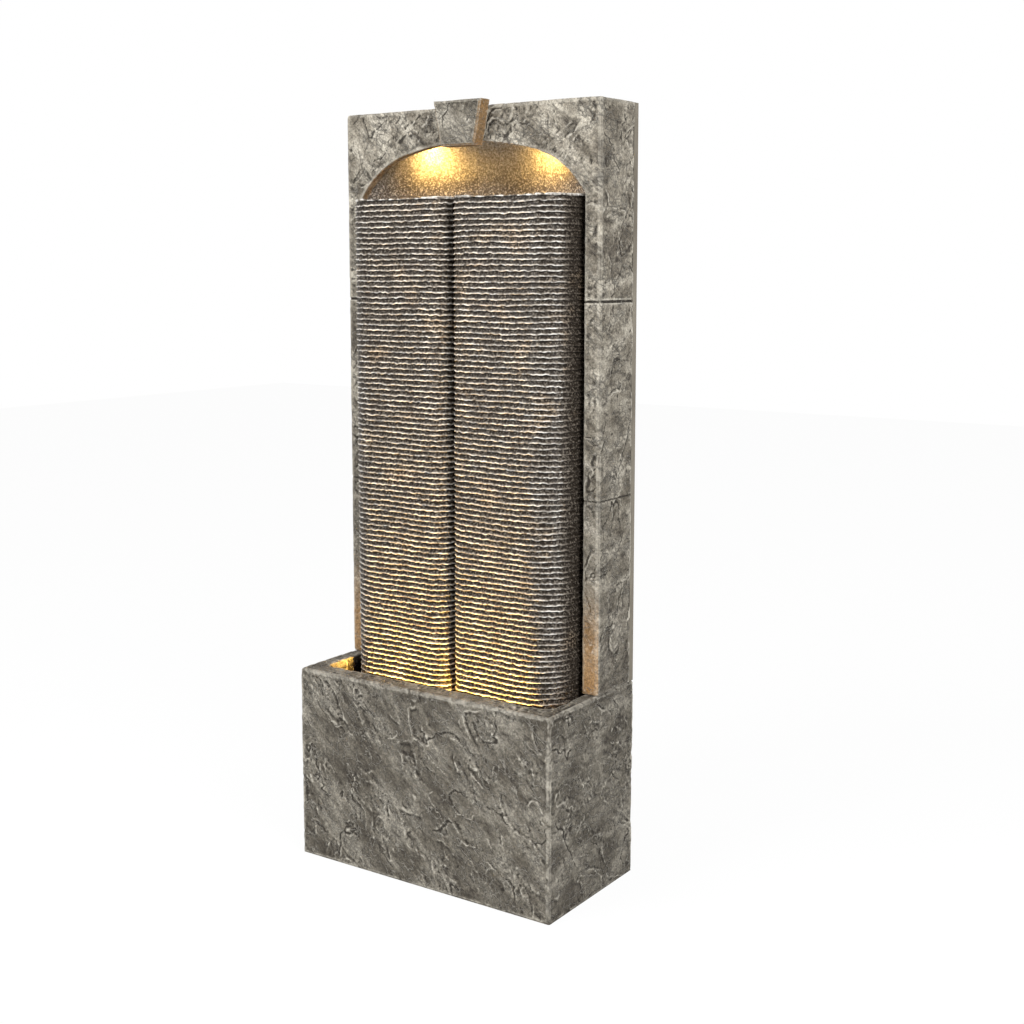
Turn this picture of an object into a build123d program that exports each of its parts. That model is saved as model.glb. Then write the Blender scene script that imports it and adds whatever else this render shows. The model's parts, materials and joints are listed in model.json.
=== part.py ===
"""Free-standing water wall fountain: a cast basin, a tower with an arched niche and two rippled columns.

Millimetres, +Z up, the front faces -Y and the origin is the middle of the footprint on the ground.
"""

import os
from math import asin, cos, degrees, floor, pi, radians, sin, sqrt

from build123d import *

# Overall envelope
overall_width = 400.0
overall_depth = 200.0
overall_height = 1000.0
edge_round = 4.0
fit_gap = 0.3
slip_gap = 0.1

# Basin
basin_height = 258.0
basin_front_wall = 30.0
basin_side_wall = 20.0
basin_rear_wall = 14.0
basin_floor = 16.0
basin_corner = 14.0
rim_round = 3.0

# Tower, with a cast frame in front and a flat panel behind
tower_depth = 90.0
panel_thickness = 10.0
jamb_lip = 3.0
head_height = 114.0
head_front_wall = 14.0
head_side_wall = 12.0
head_top_wall = 12.0
course_count = 3
score_width = 2.4
score_depth = 1.8

# Arch of three arcs, with a keystone over its crown
arch_rise = 69.0
crown_half_width = 100.0
crown_radius = 400.0
keystone_rise = 6.0
keystone_drop = 6.0
keystone_depth = 22.0
keystone_top_width = 75.0
keystone_foot_width = 52.0
keystone_bevel = 2.5

# Half dome behind the arch
dome_shell = 5.0

# Rippled columns, stacked ledges that the water falls over
pool_gap = 32.0
column_gap = 7.0
column_groove = 2.0
column_wall = 5.0
column_outer_corner = 45.0
column_inner_corner = 26.0
corner_flats = 3
service_space = 6.0
inner_wall_depth = 10.0
ledge_pitch = 7.0
ledge_depth = 2.6
ledge_lip = 1.3
ledge_dip = 22.0
return_width = 34.0
return_height = 26.0
return_spacing = 44.0
return_round = 11.0

# Spill trays that crown the columns
tray_flange = 4.0
tray_depth = 22.0
tray_wall = 3.0
tray_floor = 3.0
weir_drop = 1.5

# Water line from the pump to the trays
tube_outer = 6.3
tube_bore = 4.8
spigot_bore = 3.3
spigot_length = 20.0
hub_radius = 6.5
hub_length = 16.0
spout_flange_radius = 11.0
spout_flange = 3.0
spout_body_radius = 6.0
tee_drop = 90.0
tee_run_radius = 7.5
tee_stem_bore = 3.6
branch_bend = 44.0

# Submersible pump on the basin floor, its shaft along X
pump_body = 44.0
pump_corner = 6.0
motor_length = 43.0
chamber_length = 18.0
chamber_radius = 17.0
chamber_wall = 3.0
well_radius = 9.0
well_depth = 37.0
magnet_radius = 8.0
impeller_radius = 14.5
impeller_hub = 4.5
impeller_width = 10.0
impeller_gap = 2.0
blade_count = 6
blade_thickness = 1.6
shaft_radius = 1.5
running_gap = 0.05
bush_radius = 3.4
port_radius = 3.0
port_circle = 9.5
nozzle_height = 6.0
cover_length = 16.0
cover_wall = 2.0
slot_width = 2.6
slot_height = 22.0
slot_pitch = 5.0
slot_count = 6
slider_thickness = 1.5
slider_width = 18.0
slider_height = 11.0
slider_knob = 4.0
slider_travel = 6.0
cup_height = 8.0
cup_radius = 8.0
cup_stem_radius = 2.5
cup_stem_length = 4.0
cup_spacing = 26.0
gland_radius = 4.5
gland_bore = 2.6
gland_length = 6.0

# Sealed lamps, two in the basin and two behind the arch
basin_lamp_spacing = 150.0
basin_lamp_length = 18.0
basin_lamp_drop = 130.0
basin_lamp_clearance = 5.0
clip_wall = 2.2
clip_height = 8.0
arch_lamp_spacing = 180.0
arch_lamp_radius = 8.0
arch_lamp_length = 10.0
arch_lamp_hide = 4.0
lens_thickness = 3.0
lens_rim = 1.4

# Rear access opening with its lift-off cover
access_width = 190.0
access_height = 140.0
access_sill = 30.0
access_rebate = 12.0
access_rebate_depth = 4.0
cover_set_back = 0.5
screw_radius = 2.0
screw_head_radius = 3.8
screw_head_height = 1.6
screw_length = 8.0

# Rubber grommet for the supply lead, in the strip beside the cover, and rubber drain plug
grommet_shift = 18.5
grommet_bore = 4.5
grommet_neck = 8.0
grommet_flange_radius = 11.0
grommet_flange = 2.5
drain_inset = 80.0
drain_radius = 10.0
drain_rise = 14.0
plug_flange_radius = 15.0
plug_flange = 3.0
plug_taper = 0.5

# Places worked out from the sizes above
half_width = overall_width / 2
back_y = overall_depth / 2
front_y = -overall_depth / 2
tower_top = overall_height - keystone_rise
tower_height = tower_top - basin_height
tower_front = back_y - tower_depth
panel_front = back_y - panel_thickness
frame_depth = tower_depth - panel_thickness
spring_z = tower_top - head_height
apex_z = spring_z + arch_rise
crown_end_z = apex_z - crown_radius + sqrt(crown_radius**2 - crown_half_width**2)
niche_half = half_width - basin_side_wall - jamb_lip
head_back = tower_front + head_front_wall

cavity_half = half_width - basin_side_wall
cavity_front = front_y + basin_front_wall
cavity_back = back_y - basin_rear_wall

column_outer = niche_half - column_gap
column_inner = column_groove / 2
column_front = cavity_front + pool_gap
column_back = back_y - max(basin_rear_wall, panel_thickness) - service_space
column_top = spring_z - tray_flange
column_mid = (column_outer + column_inner) / 2
column_hollow = ledge_depth + column_wall
inner_wall_back = tower_front + inner_wall_depth
ledge_count = floor((column_top - basin_height + ledge_dip) / ledge_pitch)
ledge_start = column_top - ledge_count * ledge_pitch

tray_pocket = column_hollow + fit_gap + tray_wall
tray_bottom = column_top - tray_depth
tray_floor_top = tray_bottom + tray_floor

pump_y = (inner_wall_back + cavity_back) / 2
pump_bottom = basin_floor + cup_height
pump_axis_z = pump_bottom + pump_body / 2
pump_top = pump_bottom + pump_body
chamber_face = chamber_length / 2
motor_mid = -chamber_face - motor_length / 2
well_end = -chamber_face - well_depth
impeller_back = chamber_face - chamber_wall - impeller_gap - impeller_width
magnet_back = well_end + impeller_gap
cover_back = chamber_face + fit_gap
cover_inside = cover_back + cover_length - cover_wall
spigot_radius = tube_bore - slip_gap
nozzle_top = pump_top + nozzle_height
tee_z = tray_bottom - tee_drop
tee_foot = tee_z - hub_length
branch_top = tray_bottom - hub_radius

access_mid_z = basin_height + access_sill + access_height / 2
rebate_floor = back_y - access_rebate_depth
screw_x = access_width + access_rebate
screw_z = access_height + access_rebate
grommet_offset = (half_width + access_width / 2 + access_rebate) / 2 - grommet_shift
drain_offset = half_width - drain_inset

os.makedirs("parts", exist_ok=True)


def save(part, name):
    """Name a finished piece and write it to its own file."""
    part.label = name
    export_step(part, f"parts/{name}.step")


# Basin, one casting with an open pool and a drain through its rear wall
with BuildPart() as basin:
    with BuildSketch():
        Rectangle(overall_width, overall_depth)
    extrude(amount=basin_height)
    fillet(basin.edges().filter_by(Axis.Z).group_by(Axis.Y)[0], edge_round)
    rim_edges = basin.faces().sort_by(Axis.Z)[-1].edges().sort_by(Axis.Y)
    fillet(rim_edges[:-1], edge_round)
    with BuildSketch(Plane.XY.offset(basin_height)):
        with Locations((0, (cavity_front + cavity_back) / 2)):
            RectangleRounded(2 * cavity_half, cavity_back - cavity_front, basin_corner)
    extrude(amount=basin_floor - basin_height, mode=Mode.SUBTRACT)
    rim_face = basin.faces().sort_by(Axis.Z)[-1]
    fillet(rim_face.inner_wires()[0].edges(), rim_round)
    with BuildSketch(Plane.XZ.offset(-back_y)):
        with Locations((-drain_offset, basin_floor + drain_rise)):
            Circle(drain_radius)
    extrude(amount=basin_rear_wall, mode=Mode.SUBTRACT)
    with BuildSketch(Plane.XZ.offset(-back_y)):
        with Locations((-drain_offset, basin_floor + drain_rise)):
            Circle(plug_flange_radius + fit_gap)
    extrude(amount=plug_flange + 2 * fit_gap, mode=Mode.SUBTRACT)
save(basin.part, "basin")

# Tower frame, two scored jambs and a head with the arch cut through its front wall
with BuildPart() as tower_frame:
    with BuildSketch(Plane.XY.offset(basin_height)):
        with Locations((0, tower_front + frame_depth / 2)):
            Rectangle(overall_width, frame_depth)
    extrude(amount=tower_height)
    fillet(tower_frame.edges().filter_by(Axis.Z).group_by(Axis.Y)[0], edge_round)
    head_edges = tower_frame.faces().sort_by(Axis.Z)[-1].edges().sort_by(Axis.Y)
    fillet(head_edges[:-1], edge_round)
    with BuildSketch(Plane.XZ.offset(-tower_front)):
        with BuildLine():
            crown = ThreePointArc(
                (-crown_half_width, crown_end_z), (0, apex_z), (crown_half_width, crown_end_z)
            )
            TangentArc(crown @ 1, (niche_half, spring_z), tangent=crown % 1)
            TangentArc(crown @ 0, (-niche_half, spring_z), tangent=-(crown % 0))
            Polyline(
                (niche_half, spring_z),
                (niche_half, basin_height),
                (-niche_half, basin_height),
                (-niche_half, spring_z),
            )
        make_face()
    extrude(amount=-frame_depth, mode=Mode.SUBTRACT)
    with BuildSketch(Plane.XZ.offset(-panel_front)):
        with Locations((0, spring_z)):
            Rectangle(
                overall_width - 2 * head_side_wall,
                head_height - head_top_wall,
                align=(Align.CENTER, Align.MIN),
            )
    extrude(amount=frame_depth - head_front_wall, mode=Mode.SUBTRACT)
    for course in range(1, course_count):
        score_z = basin_height + course * tower_height / course_count
        with BuildSketch(Plane.XY.offset(score_z - score_width / 2)):
            with Locations((0, tower_front)):
                Rectangle(overall_width, frame_depth, align=(Align.CENTER, Align.MIN))
            with Locations((0, tower_front + score_depth)):
                Rectangle(
                    overall_width - 2 * score_depth,
                    frame_depth,
                    align=(Align.CENTER, Align.MIN),
                    mode=Mode.SUBTRACT,
                )
        extrude(amount=score_width, mode=Mode.SUBTRACT)
save(tower_frame.part, "tower_frame")

# Keystone, a bevelled wedge bonded over the crown of the arch
with BuildPart() as keystone:
    with BuildSketch(Plane.XZ.offset(-tower_front)):
        with BuildLine():
            Polyline(
                (-keystone_foot_width / 2, apex_z - keystone_drop),
                (keystone_foot_width / 2, apex_z - keystone_drop),
                (keystone_top_width / 2, overall_height),
                (-keystone_top_width / 2, overall_height),
                close=True,
            )
        make_face()
    extrude(amount=keystone_depth)
    chamfer(keystone.faces().sort_by(Axis.Y)[0].edges(), keystone_bevel)
save(keystone.part, "keystone")

# Half dome, an upright wall and a quarter-round cove turned about a vertical axis in front of the niche
dome_depth = panel_front - head_back - fit_gap
dome_half = half_width - head_side_wall - fit_gap
dome_radius = (dome_half**2 + dome_depth**2) / (2 * dome_depth)
dome_back = head_back + dome_depth
dome_axis = Axis((0, dome_back - dome_radius, 0), (0, 0, 1))
dome_crown_z = tower_top - head_top_wall - fit_gap
cove_z = dome_crown_z - dome_depth
with BuildPart() as niche_dome:
    with BuildSketch(Plane.YZ):
        with BuildLine():
            outside = TangentArc((dome_back, cove_z), (head_back, dome_crown_z), tangent=(0, 1))
            inside = TangentArc(
                (dome_back - dome_shell, cove_z), (head_back, dome_crown_z - dome_shell), tangent=(0, 1)
            )
            Line(outside @ 1, inside @ 1)
            Polyline(
                outside @ 0, (dome_back, spring_z), (dome_back - dome_shell, spring_z), inside @ 0
            )
        make_face()
    revolve(axis=dome_axis, revolution_arc=degrees(asin(dome_half / dome_radius)))
    mirror(about=Plane.YZ)
    split(bisect_by=Plane.XZ.offset(-head_back), keep=Keep.BOTTOM)
save(niche_dome.part, "niche_dome")


def column_plan(side, inset, back):
    """Plan points of one column, its skin drawn in by inset from the tips of the ledges."""
    outer = column_outer - inset
    inner = column_inner + inset
    front = column_front + inset
    outer_round = column_outer_corner - inset
    inner_round = column_inner_corner - inset
    turns = [radians(90 * step / corner_flats) for step in range(corner_flats + 1)]
    points = [(outer, back)]
    for turn in turns:
        points.append((outer - outer_round * (1 - cos(turn)), front + outer_round * (1 - sin(turn))))
    for turn in turns:
        points.append((inner + inner_round * (1 - sin(turn)), front + inner_round * (1 - cos(turn))))
    points.append((inner, back))
    return [(side * x, y) for x, y in points]


# Rippled columns and their spill trays, a left-hand and a right-hand set
for side, hand in ((-1, "left"), (1, "right")):
    column_x = side * column_mid

    with BuildPart() as ripple_column:
        for ledge in range(ledge_count):
            ledge_z = ledge_start + ledge * ledge_pitch
            with BuildSketch(Plane.XY.offset(ledge_z)):
                Polygon(*column_plan(side, ledge_depth, column_back), align=None)
            with BuildSketch(Plane.XY.offset(ledge_z + ledge_lip)):
                Polygon(*column_plan(side, 0, column_back), align=None)
        with BuildSketch(Plane.XY.offset(column_top)):
            Polygon(*column_plan(side, ledge_depth, column_back), align=None)
        loft(ruled=True)
        with BuildSketch(Plane.XY.offset(basin_floor)):
            Polygon(*column_plan(side, ledge_depth, column_back), align=None)
        extrude(amount=ledge_start - basin_floor)
        with BuildSketch(Plane.XY.offset(basin_floor)):
            Polygon(*column_plan(side, column_hollow, back_y), align=None)
        extrude(amount=column_top - basin_floor, mode=Mode.SUBTRACT)
        with BuildSketch(Plane.XY.offset(basin_floor)):
            with Locations((side * column_hollow, (inner_wall_back + back_y) / 2)):
                Rectangle(2 * column_hollow, back_y - inner_wall_back)
        extrude(amount=tray_bottom - basin_floor, mode=Mode.SUBTRACT)
        with BuildSketch(Plane.XZ.offset(-column_front)):
            with Locations((column_x, basin_floor)):
                with GridLocations(return_spacing, 1, 2, 1):
                    RectangleRounded(return_width, 2 * return_height, return_round)
        extrude(amount=-2 * column_hollow, mode=Mode.SUBTRACT)
    save(ripple_column.part, f"{hand}_ripple_column")

    with BuildPart() as spill_tray:
        with BuildSketch(Plane.XY.offset(column_top)):
            Polygon(*column_plan(side, 0, column_back), align=None)
        extrude(amount=tray_flange)
        with BuildSketch(Plane.XY.offset(column_top)):
            Polygon(*column_plan(side, column_hollow + fit_gap, column_back), align=None)
        extrude(amount=-tray_depth)
        with BuildSketch(Plane.XY.offset(spring_z)):
            Polygon(*column_plan(side, tray_pocket, column_back - tray_wall), align=None)
        extrude(amount=tray_floor_top - spring_z, mode=Mode.SUBTRACT)
        with BuildSketch(Plane.XY.offset(spring_z)):
            with Locations((column_x, column_front)):
                Rectangle(
                    column_outer - column_inner - column_outer_corner - column_inner_corner,
                    2 * tray_pocket,
                )
        extrude(amount=-weir_drop, mode=Mode.SUBTRACT)
        with BuildSketch(Plane.XY.offset(tray_bottom)):
            with Locations((column_x, pump_y)):
                Circle(spout_body_radius + slip_gap)
        extrude(amount=tray_floor, mode=Mode.SUBTRACT)
    save(spill_tray.part, f"{hand}_spill_tray")

    with BuildPart() as outlet_spout:
        for radius, start, end in (
            (spout_flange_radius, tray_floor_top, tray_floor_top + spout_flange),
            (spout_body_radius, branch_top, tray_floor_top),
            (spigot_radius, branch_top - spigot_length, branch_top),
        ):
            with BuildSketch(Plane.XY.offset(start)):
                with Locations((column_x, pump_y)):
                    Circle(radius)
            extrude(amount=end - start)
        with BuildSketch(Plane.XY.offset(branch_top - spigot_length)):
            with Locations((column_x, pump_y)):
                Circle(spigot_bore)
        extrude(until=Until.LAST, mode=Mode.SUBTRACT)
    save(outlet_spout.part, f"{hand}_outlet_spout")

    with BuildPart() as branch_tube:
        with BuildLine():
            route = FilletPolyline(
                (side * hub_length, pump_y, tee_z),
                (column_x, pump_y, tee_z),
                (column_x, pump_y, branch_top),
                radius=branch_bend,
            )
        with BuildSketch(Plane.YZ.offset(side * hub_length)):
            with Locations((pump_y, tee_z)):
                Circle(tube_outer)
                Circle(tube_bore, mode=Mode.SUBTRACT)
        sweep(path=route)
    tube_section = pi * (tube_outer**2 - tube_bore**2)
    tube_length = route.length
    print(f"{hand} branch tube {tube_length:.1f} mm long, bend {branch_bend:.0f} mm")
    print(f"  volume over section times length {branch_tube.part.volume / (tube_section * tube_length):.5f}")
    save(branch_tube.part, f"{hand}_branch_tube")

# Tee that splits the riser between the two trays
with BuildPart() as tee_fitting:
    for start, reach, radius in (
        (-hub_length, 2 * hub_length, tee_run_radius),
        (hub_length, spigot_length, spigot_radius),
        (-hub_length, -spigot_length, spigot_radius),
    ):
        with BuildSketch(Plane.YZ.offset(start)):
            with Locations((pump_y, tee_z)):
                Circle(radius)
        extrude(amount=reach)
    for start, reach, radius in ((tee_z, hub_length, hub_radius), (tee_foot, spigot_length, spigot_radius)):
        with BuildSketch(Plane.XY.offset(start)):
            with Locations((0, pump_y)):
                Circle(radius)
        extrude(amount=-reach)
    with BuildSketch(Plane.YZ.offset(-hub_length - spigot_length)):
        with Locations((pump_y, tee_z)):
            Circle(spigot_bore)
    extrude(amount=2 * (hub_length + spigot_length), mode=Mode.SUBTRACT)
    with BuildSketch(Plane.XY.offset(tee_z)):
        with Locations((0, pump_y)):
            Circle(tee_stem_bore)
    extrude(amount=-hub_length - spigot_length, mode=Mode.SUBTRACT)
save(tee_fitting.part, "tee_fitting")

# Riser tube, straight up from the pump to the tee
with BuildPart() as riser_tube:
    with BuildSketch(Plane.XY.offset(nozzle_top)):
        with Locations((0, pump_y)):
            Circle(tube_outer)
            Circle(tube_bore, mode=Mode.SUBTRACT)
    extrude(amount=tee_foot - nozzle_top)
save(riser_tube.part, "riser_tube")


def pump_section(x, size, corner):
    """Square pump section with rounded corners, on a plane across the shaft."""
    with BuildSketch(Plane.YZ.offset(x)) as section:
        with Locations((pump_y, pump_axis_z)):
            RectangleRounded(size, size, corner)
    return section.sketch


def pump_rounds(x, *radii):
    """Circles about the pump shaft, the first filled and the others cut out of it."""
    with BuildSketch(Plane.YZ.offset(x)) as rounds:
        with Locations((pump_y, pump_axis_z)):
            Circle(radii[0])
            for radius in radii[1:]:
                Circle(radius, mode=Mode.SUBTRACT)
    return rounds.sketch


# Motor housing, a potted block with a well for the rotor and sockets for four suction cups
cup_places = [
    (motor_mid + cup_spacing / 2 * along, pump_y + cup_spacing / 2 * across)
    for along in (-1, 1)
    for across in (-1, 1)
]
with BuildPart() as pump_motor_housing:
    extrude(pump_section(-chamber_face, pump_body, pump_corner), amount=-motor_length)
    extrude(pump_rounds(-chamber_face, well_radius), amount=-well_depth, mode=Mode.SUBTRACT)
    extrude(pump_rounds(well_end, bush_radius), amount=-chamber_wall, mode=Mode.SUBTRACT)
    with BuildSketch(Plane.XY.offset(pump_bottom)):
        with Locations(*cup_places):
            Circle(cup_stem_radius)
    extrude(amount=cup_stem_length, mode=Mode.SUBTRACT)
save(pump_motor_housing.part, "pump_motor_housing")

# Suction cups, four flared rubber feet on stems
with BuildPart() as pump_suction_cups:
    with Locations(*[(x, y, basin_floor) for x, y in cup_places]):
        Cone(
            cup_radius,
            cup_stem_radius - slip_gap,
            cup_height,
            align=(Align.CENTER, Align.CENTER, Align.MIN),
        )
    with BuildSketch(Plane.XY.offset(pump_bottom)):
        with Locations(*cup_places):
            Circle(cup_stem_radius - slip_gap)
    extrude(amount=cup_stem_length - slip_gap)
save(pump_suction_cups.part, "pump_suction_cups")

# Impeller chamber with its ring of intake ports and the outlet nozzle on top
with BuildPart() as pump_chamber:
    extrude(pump_section(-chamber_face, pump_body, pump_corner), amount=chamber_length)
    for radius, height in ((hub_radius, nozzle_height), (spigot_radius, nozzle_height + spigot_length)):
        with BuildSketch(Plane.XY.offset(pump_top)):
            with Locations((0, pump_y)):
                Circle(radius)
        extrude(amount=height)
    extrude(
        pump_rounds(-chamber_face, chamber_radius),
        amount=chamber_length - chamber_wall,
        mode=Mode.SUBTRACT,
    )
    extrude(pump_rounds(chamber_face, bush_radius), amount=-chamber_wall, mode=Mode.SUBTRACT)
    with BuildSketch(Plane.YZ.offset(chamber_face)):
        with Locations((pump_y, pump_axis_z)):
            with PolarLocations(port_circle, blade_count):
                Circle(port_radius)
    extrude(amount=-chamber_wall, mode=Mode.SUBTRACT)
    with BuildSketch(Plane.XY.offset(pump_axis_z)):
        with Locations((0, pump_y)):
            Circle(spigot_bore)
    extrude(amount=nozzle_top + spigot_length - pump_axis_z, mode=Mode.SUBTRACT)
save(pump_chamber.part, "pump_chamber")

# Rotor, a ring magnet with the bladed impeller on its nose
with BuildPart() as pump_rotor_magnet:
    extrude(
        pump_rounds(magnet_back, magnet_radius, shaft_radius + running_gap),
        amount=impeller_back - magnet_back,
    )
save(pump_rotor_magnet.part, "pump_rotor_magnet")

with BuildPart() as pump_impeller:
    extrude(pump_rounds(impeller_back, impeller_hub), amount=impeller_width)
    with BuildSketch(Plane.YZ.offset(impeller_back)):
        with Locations((pump_y, pump_axis_z)):
            with PolarLocations(0, blade_count):
                Rectangle(impeller_radius, blade_thickness, align=(Align.MIN, Align.CENTER))
    extrude(amount=impeller_width)
    extrude(pump_rounds(impeller_back, shaft_radius + running_gap), amount=impeller_width, mode=Mode.SUBTRACT)
save(pump_impeller.part, "pump_impeller")

# Fixed ceramic shaft in two rubber bushes
with BuildPart() as pump_shaft:
    extrude(pump_rounds(well_end - chamber_wall, shaft_radius), amount=chamber_face - well_end + chamber_wall)
save(pump_shaft.part, "pump_shaft")

with BuildPart() as pump_shaft_bushes:
    for bush_x in (well_end - chamber_wall, chamber_face - chamber_wall):
        extrude(
            pump_rounds(bush_x, bush_radius - running_gap, shaft_radius + running_gap),
            amount=chamber_wall,
        )
save(pump_shaft_bushes.part, "pump_shaft_bushes")

# Intake cover with its grille, and the slider that throttles the flow behind it
slider_foot = pump_bottom + cover_wall + fit_gap
slider_mid_z = slider_foot + slider_height / 2
with BuildPart() as pump_intake_cover:
    extrude(pump_section(cover_back, pump_body, pump_corner), amount=cover_length)
    extrude(
        pump_section(cover_back, pump_body - 2 * cover_wall, pump_corner - cover_wall),
        amount=cover_length - cover_wall,
        mode=Mode.SUBTRACT,
    )
    with BuildSketch(Plane.YZ.offset(cover_inside)):
        with Locations((pump_y, pump_axis_z + slider_height / 2)):
            with GridLocations(slot_pitch, 1, slot_count, 1):
                Rectangle(slot_width, slot_height)
        with Locations((pump_y, slider_mid_z)):
            Rectangle(slider_knob + 2 * slider_travel + 2 * fit_gap, slider_knob + 2 * fit_gap)
    extrude(amount=cover_wall, mode=Mode.SUBTRACT)
save(pump_intake_cover.part, "pump_intake_cover")

with BuildPart() as pump_flow_slider:
    with BuildSketch(Plane.YZ.offset(cover_inside - fit_gap)):
        with Locations((pump_y, slider_mid_z)):
            Rectangle(slider_width, slider_height)
    extrude(amount=-slider_thickness)
    with BuildSketch(Plane.YZ.offset(cover_inside - fit_gap)):
        with Locations((pump_y, slider_mid_z)):
            Rectangle(slider_knob, slider_knob)
    extrude(amount=cover_wall + slider_knob)
save(pump_flow_slider.part, "pump_flow_slider")

# Rubber gland where the pump's lead enters the potted motor
with BuildPart() as pump_cord_gland:
    extrude(pump_rounds(-chamber_face - motor_length, gland_radius, gland_bore), amount=-gland_length)
save(pump_cord_gland.part, "pump_cord_gland")


def lamp_pieces(name, seat, radius, length):
    """Make the cup and the lens of a sealed lamp that shines along the normal of its seat."""
    with BuildPart() as lamp_housing:
        with BuildSketch(seat):
            Circle(radius)
        extrude(amount=length)
        with BuildSketch(seat.offset(length - lens_thickness)):
            Circle(radius - lens_rim)
        extrude(amount=lens_thickness, mode=Mode.SUBTRACT)
    save(lamp_housing.part, f"{name}_housing")
    with BuildPart() as lamp_lens:
        with BuildSketch(seat.offset(length - lens_thickness)):
            Circle(radius - lens_rim - slip_gap)
        extrude(amount=lens_thickness)
    save(lamp_lens.part, f"{name}_lens")


# Lamps: two upright in clips on the basin's front wall, two behind the arch that shine into the dome
basin_lamp_radius = pool_gap / 2 - basin_lamp_clearance
basin_lamp_y = cavity_front + basin_lamp_radius + clip_wall + slip_gap
basin_lamp_foot = basin_height - basin_lamp_drop - basin_lamp_length
arch_lamp_x = arch_lamp_spacing / 2
arch_lip_z = apex_z - crown_radius + sqrt(crown_radius**2 - arch_lamp_x**2)
arch_lamp_z = arch_lip_z + arch_lamp_hide + arch_lamp_radius
for side, hand in ((-1, "left"), (1, "right")):
    lamp_x = side * basin_lamp_spacing / 2
    basin_seat = Plane(origin=(lamp_x, basin_lamp_y, basin_lamp_foot))
    lamp_pieces(f"basin_lamp_{hand}", basin_seat, basin_lamp_radius, basin_lamp_length)

    with BuildPart() as lamp_clip:
        with BuildSketch(basin_seat.offset((basin_lamp_length - clip_height) / 2)):
            Circle(basin_lamp_radius + slip_gap + clip_wall)
            with Locations((0, cavity_front - basin_lamp_y)):
                Rectangle(2 * basin_lamp_radius, basin_lamp_radius, align=(Align.CENTER, Align.MIN))
            Circle(basin_lamp_radius + slip_gap, mode=Mode.SUBTRACT)
        extrude(amount=clip_height)
    save(lamp_clip.part, f"basin_lamp_{hand}_clip")

    arch_place = (side * arch_lamp_x, head_back, arch_lamp_z)
    arch_seat = Plane(origin=arch_place, x_dir=(1, 0, 0), z_dir=(0, 1, 0))
    lamp_pieces(f"arch_lamp_{hand}", arch_seat, arch_lamp_radius, arch_lamp_length)

# Back panel with the access opening, its rebate and the hole for the lead
with BuildPart() as back_panel:
    with BuildSketch(Plane.XZ.offset(-back_y)):
        with Locations((0, basin_height)):
            Rectangle(overall_width, tower_height, align=(Align.CENTER, Align.MIN))
        with Locations((0, access_mid_z)):
            Rectangle(access_width, access_height, mode=Mode.SUBTRACT)
            with GridLocations(screw_x, screw_z, 2, 2):
                Circle(screw_radius + fit_gap, mode=Mode.SUBTRACT)
        with Locations((grommet_offset, access_mid_z)):
            Circle(grommet_neck, mode=Mode.SUBTRACT)
    extrude(amount=panel_thickness)
    with BuildSketch(Plane.XZ.offset(-back_y)):
        with Locations((0, access_mid_z)):
            Rectangle(access_width + 2 * access_rebate, access_height + 2 * access_rebate)
    extrude(amount=access_rebate_depth, mode=Mode.SUBTRACT)
    with BuildSketch(Plane.XZ.offset(-back_y)):
        with Locations((grommet_offset, access_mid_z)):
            Circle(grommet_flange_radius + slip_gap)
    extrude(amount=grommet_flange, mode=Mode.SUBTRACT)
save(back_panel.part, "back_panel")

# Access cover that lifts off backwards with its four captive screws
cover_outside = back_y - cover_set_back
cover_seat = rebate_floor + fit_gap
with BuildPart() as access_cover:
    with BuildSketch(Plane.XZ.offset(-cover_outside)):
        with Locations((0, access_mid_z)):
            Rectangle(
                access_width + 2 * (access_rebate - fit_gap),
                access_height + 2 * (access_rebate - fit_gap),
            )
            with GridLocations(screw_x, screw_z, 2, 2):
                Circle(screw_radius + slip_gap, mode=Mode.SUBTRACT)
    extrude(amount=cover_outside - cover_seat)
    with BuildSketch(Plane.XZ.offset(-cover_outside)):
        with Locations((0, access_mid_z)):
            with GridLocations(screw_x, screw_z, 2, 2):
                Circle(screw_head_radius + slip_gap)
    extrude(amount=screw_head_height, mode=Mode.SUBTRACT)
save(access_cover.part, "access_cover")

with BuildPart() as access_cover_screws:
    for radius, reach in ((screw_head_radius, screw_head_height), (screw_radius, screw_length)):
        with BuildSketch(Plane.XZ.offset(-cover_outside)):
            with Locations((0, access_mid_z)):
                with GridLocations(screw_x, screw_z, 2, 2):
                    Circle(radius)
        extrude(amount=reach)
save(access_cover_screws.part, "access_cover_screws")

# Grommet for the supply lead, snapped into the back panel
with BuildPart() as cable_grommet:
    for radius, start, end in (
        (grommet_flange_radius, back_y - grommet_flange, back_y),
        (grommet_neck - slip_gap, panel_front, back_y - grommet_flange),
        (grommet_flange_radius, panel_front - grommet_flange, panel_front),
    ):
        with BuildSketch(Plane.XZ.offset(-end)):
            with Locations((grommet_offset, access_mid_z)):
                Circle(radius)
                Circle(grommet_bore, mode=Mode.SUBTRACT)
        extrude(amount=end - start)
save(cable_grommet.part, "cable_grommet")

# Drain plug, a tapered rubber stopper that pulls out backwards
plug_face = back_y - fit_gap
with BuildPart() as drain_plug:
    with BuildSketch(Plane.XZ.offset(-plug_face)):
        with Locations((-drain_offset, basin_floor + drain_rise)):
            Circle(plug_flange_radius)
    extrude(amount=plug_flange)
    for place, radius in (
        (plug_face - plug_flange, drain_radius - fit_gap),
        (cavity_back, drain_radius - fit_gap - plug_taper),
    ):
        with BuildSketch(Plane.XZ.offset(-place)):
            with Locations((-drain_offset, basin_floor + drain_rise)):
                Circle(radius)
    loft()
save(drain_plug.part, "drain_plug")
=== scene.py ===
"""Looks of a free-standing water wall fountain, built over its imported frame.

Metres, +Z up, and the front with the pool faces -Y.
"""

import json
from math import pi, radians

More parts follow.
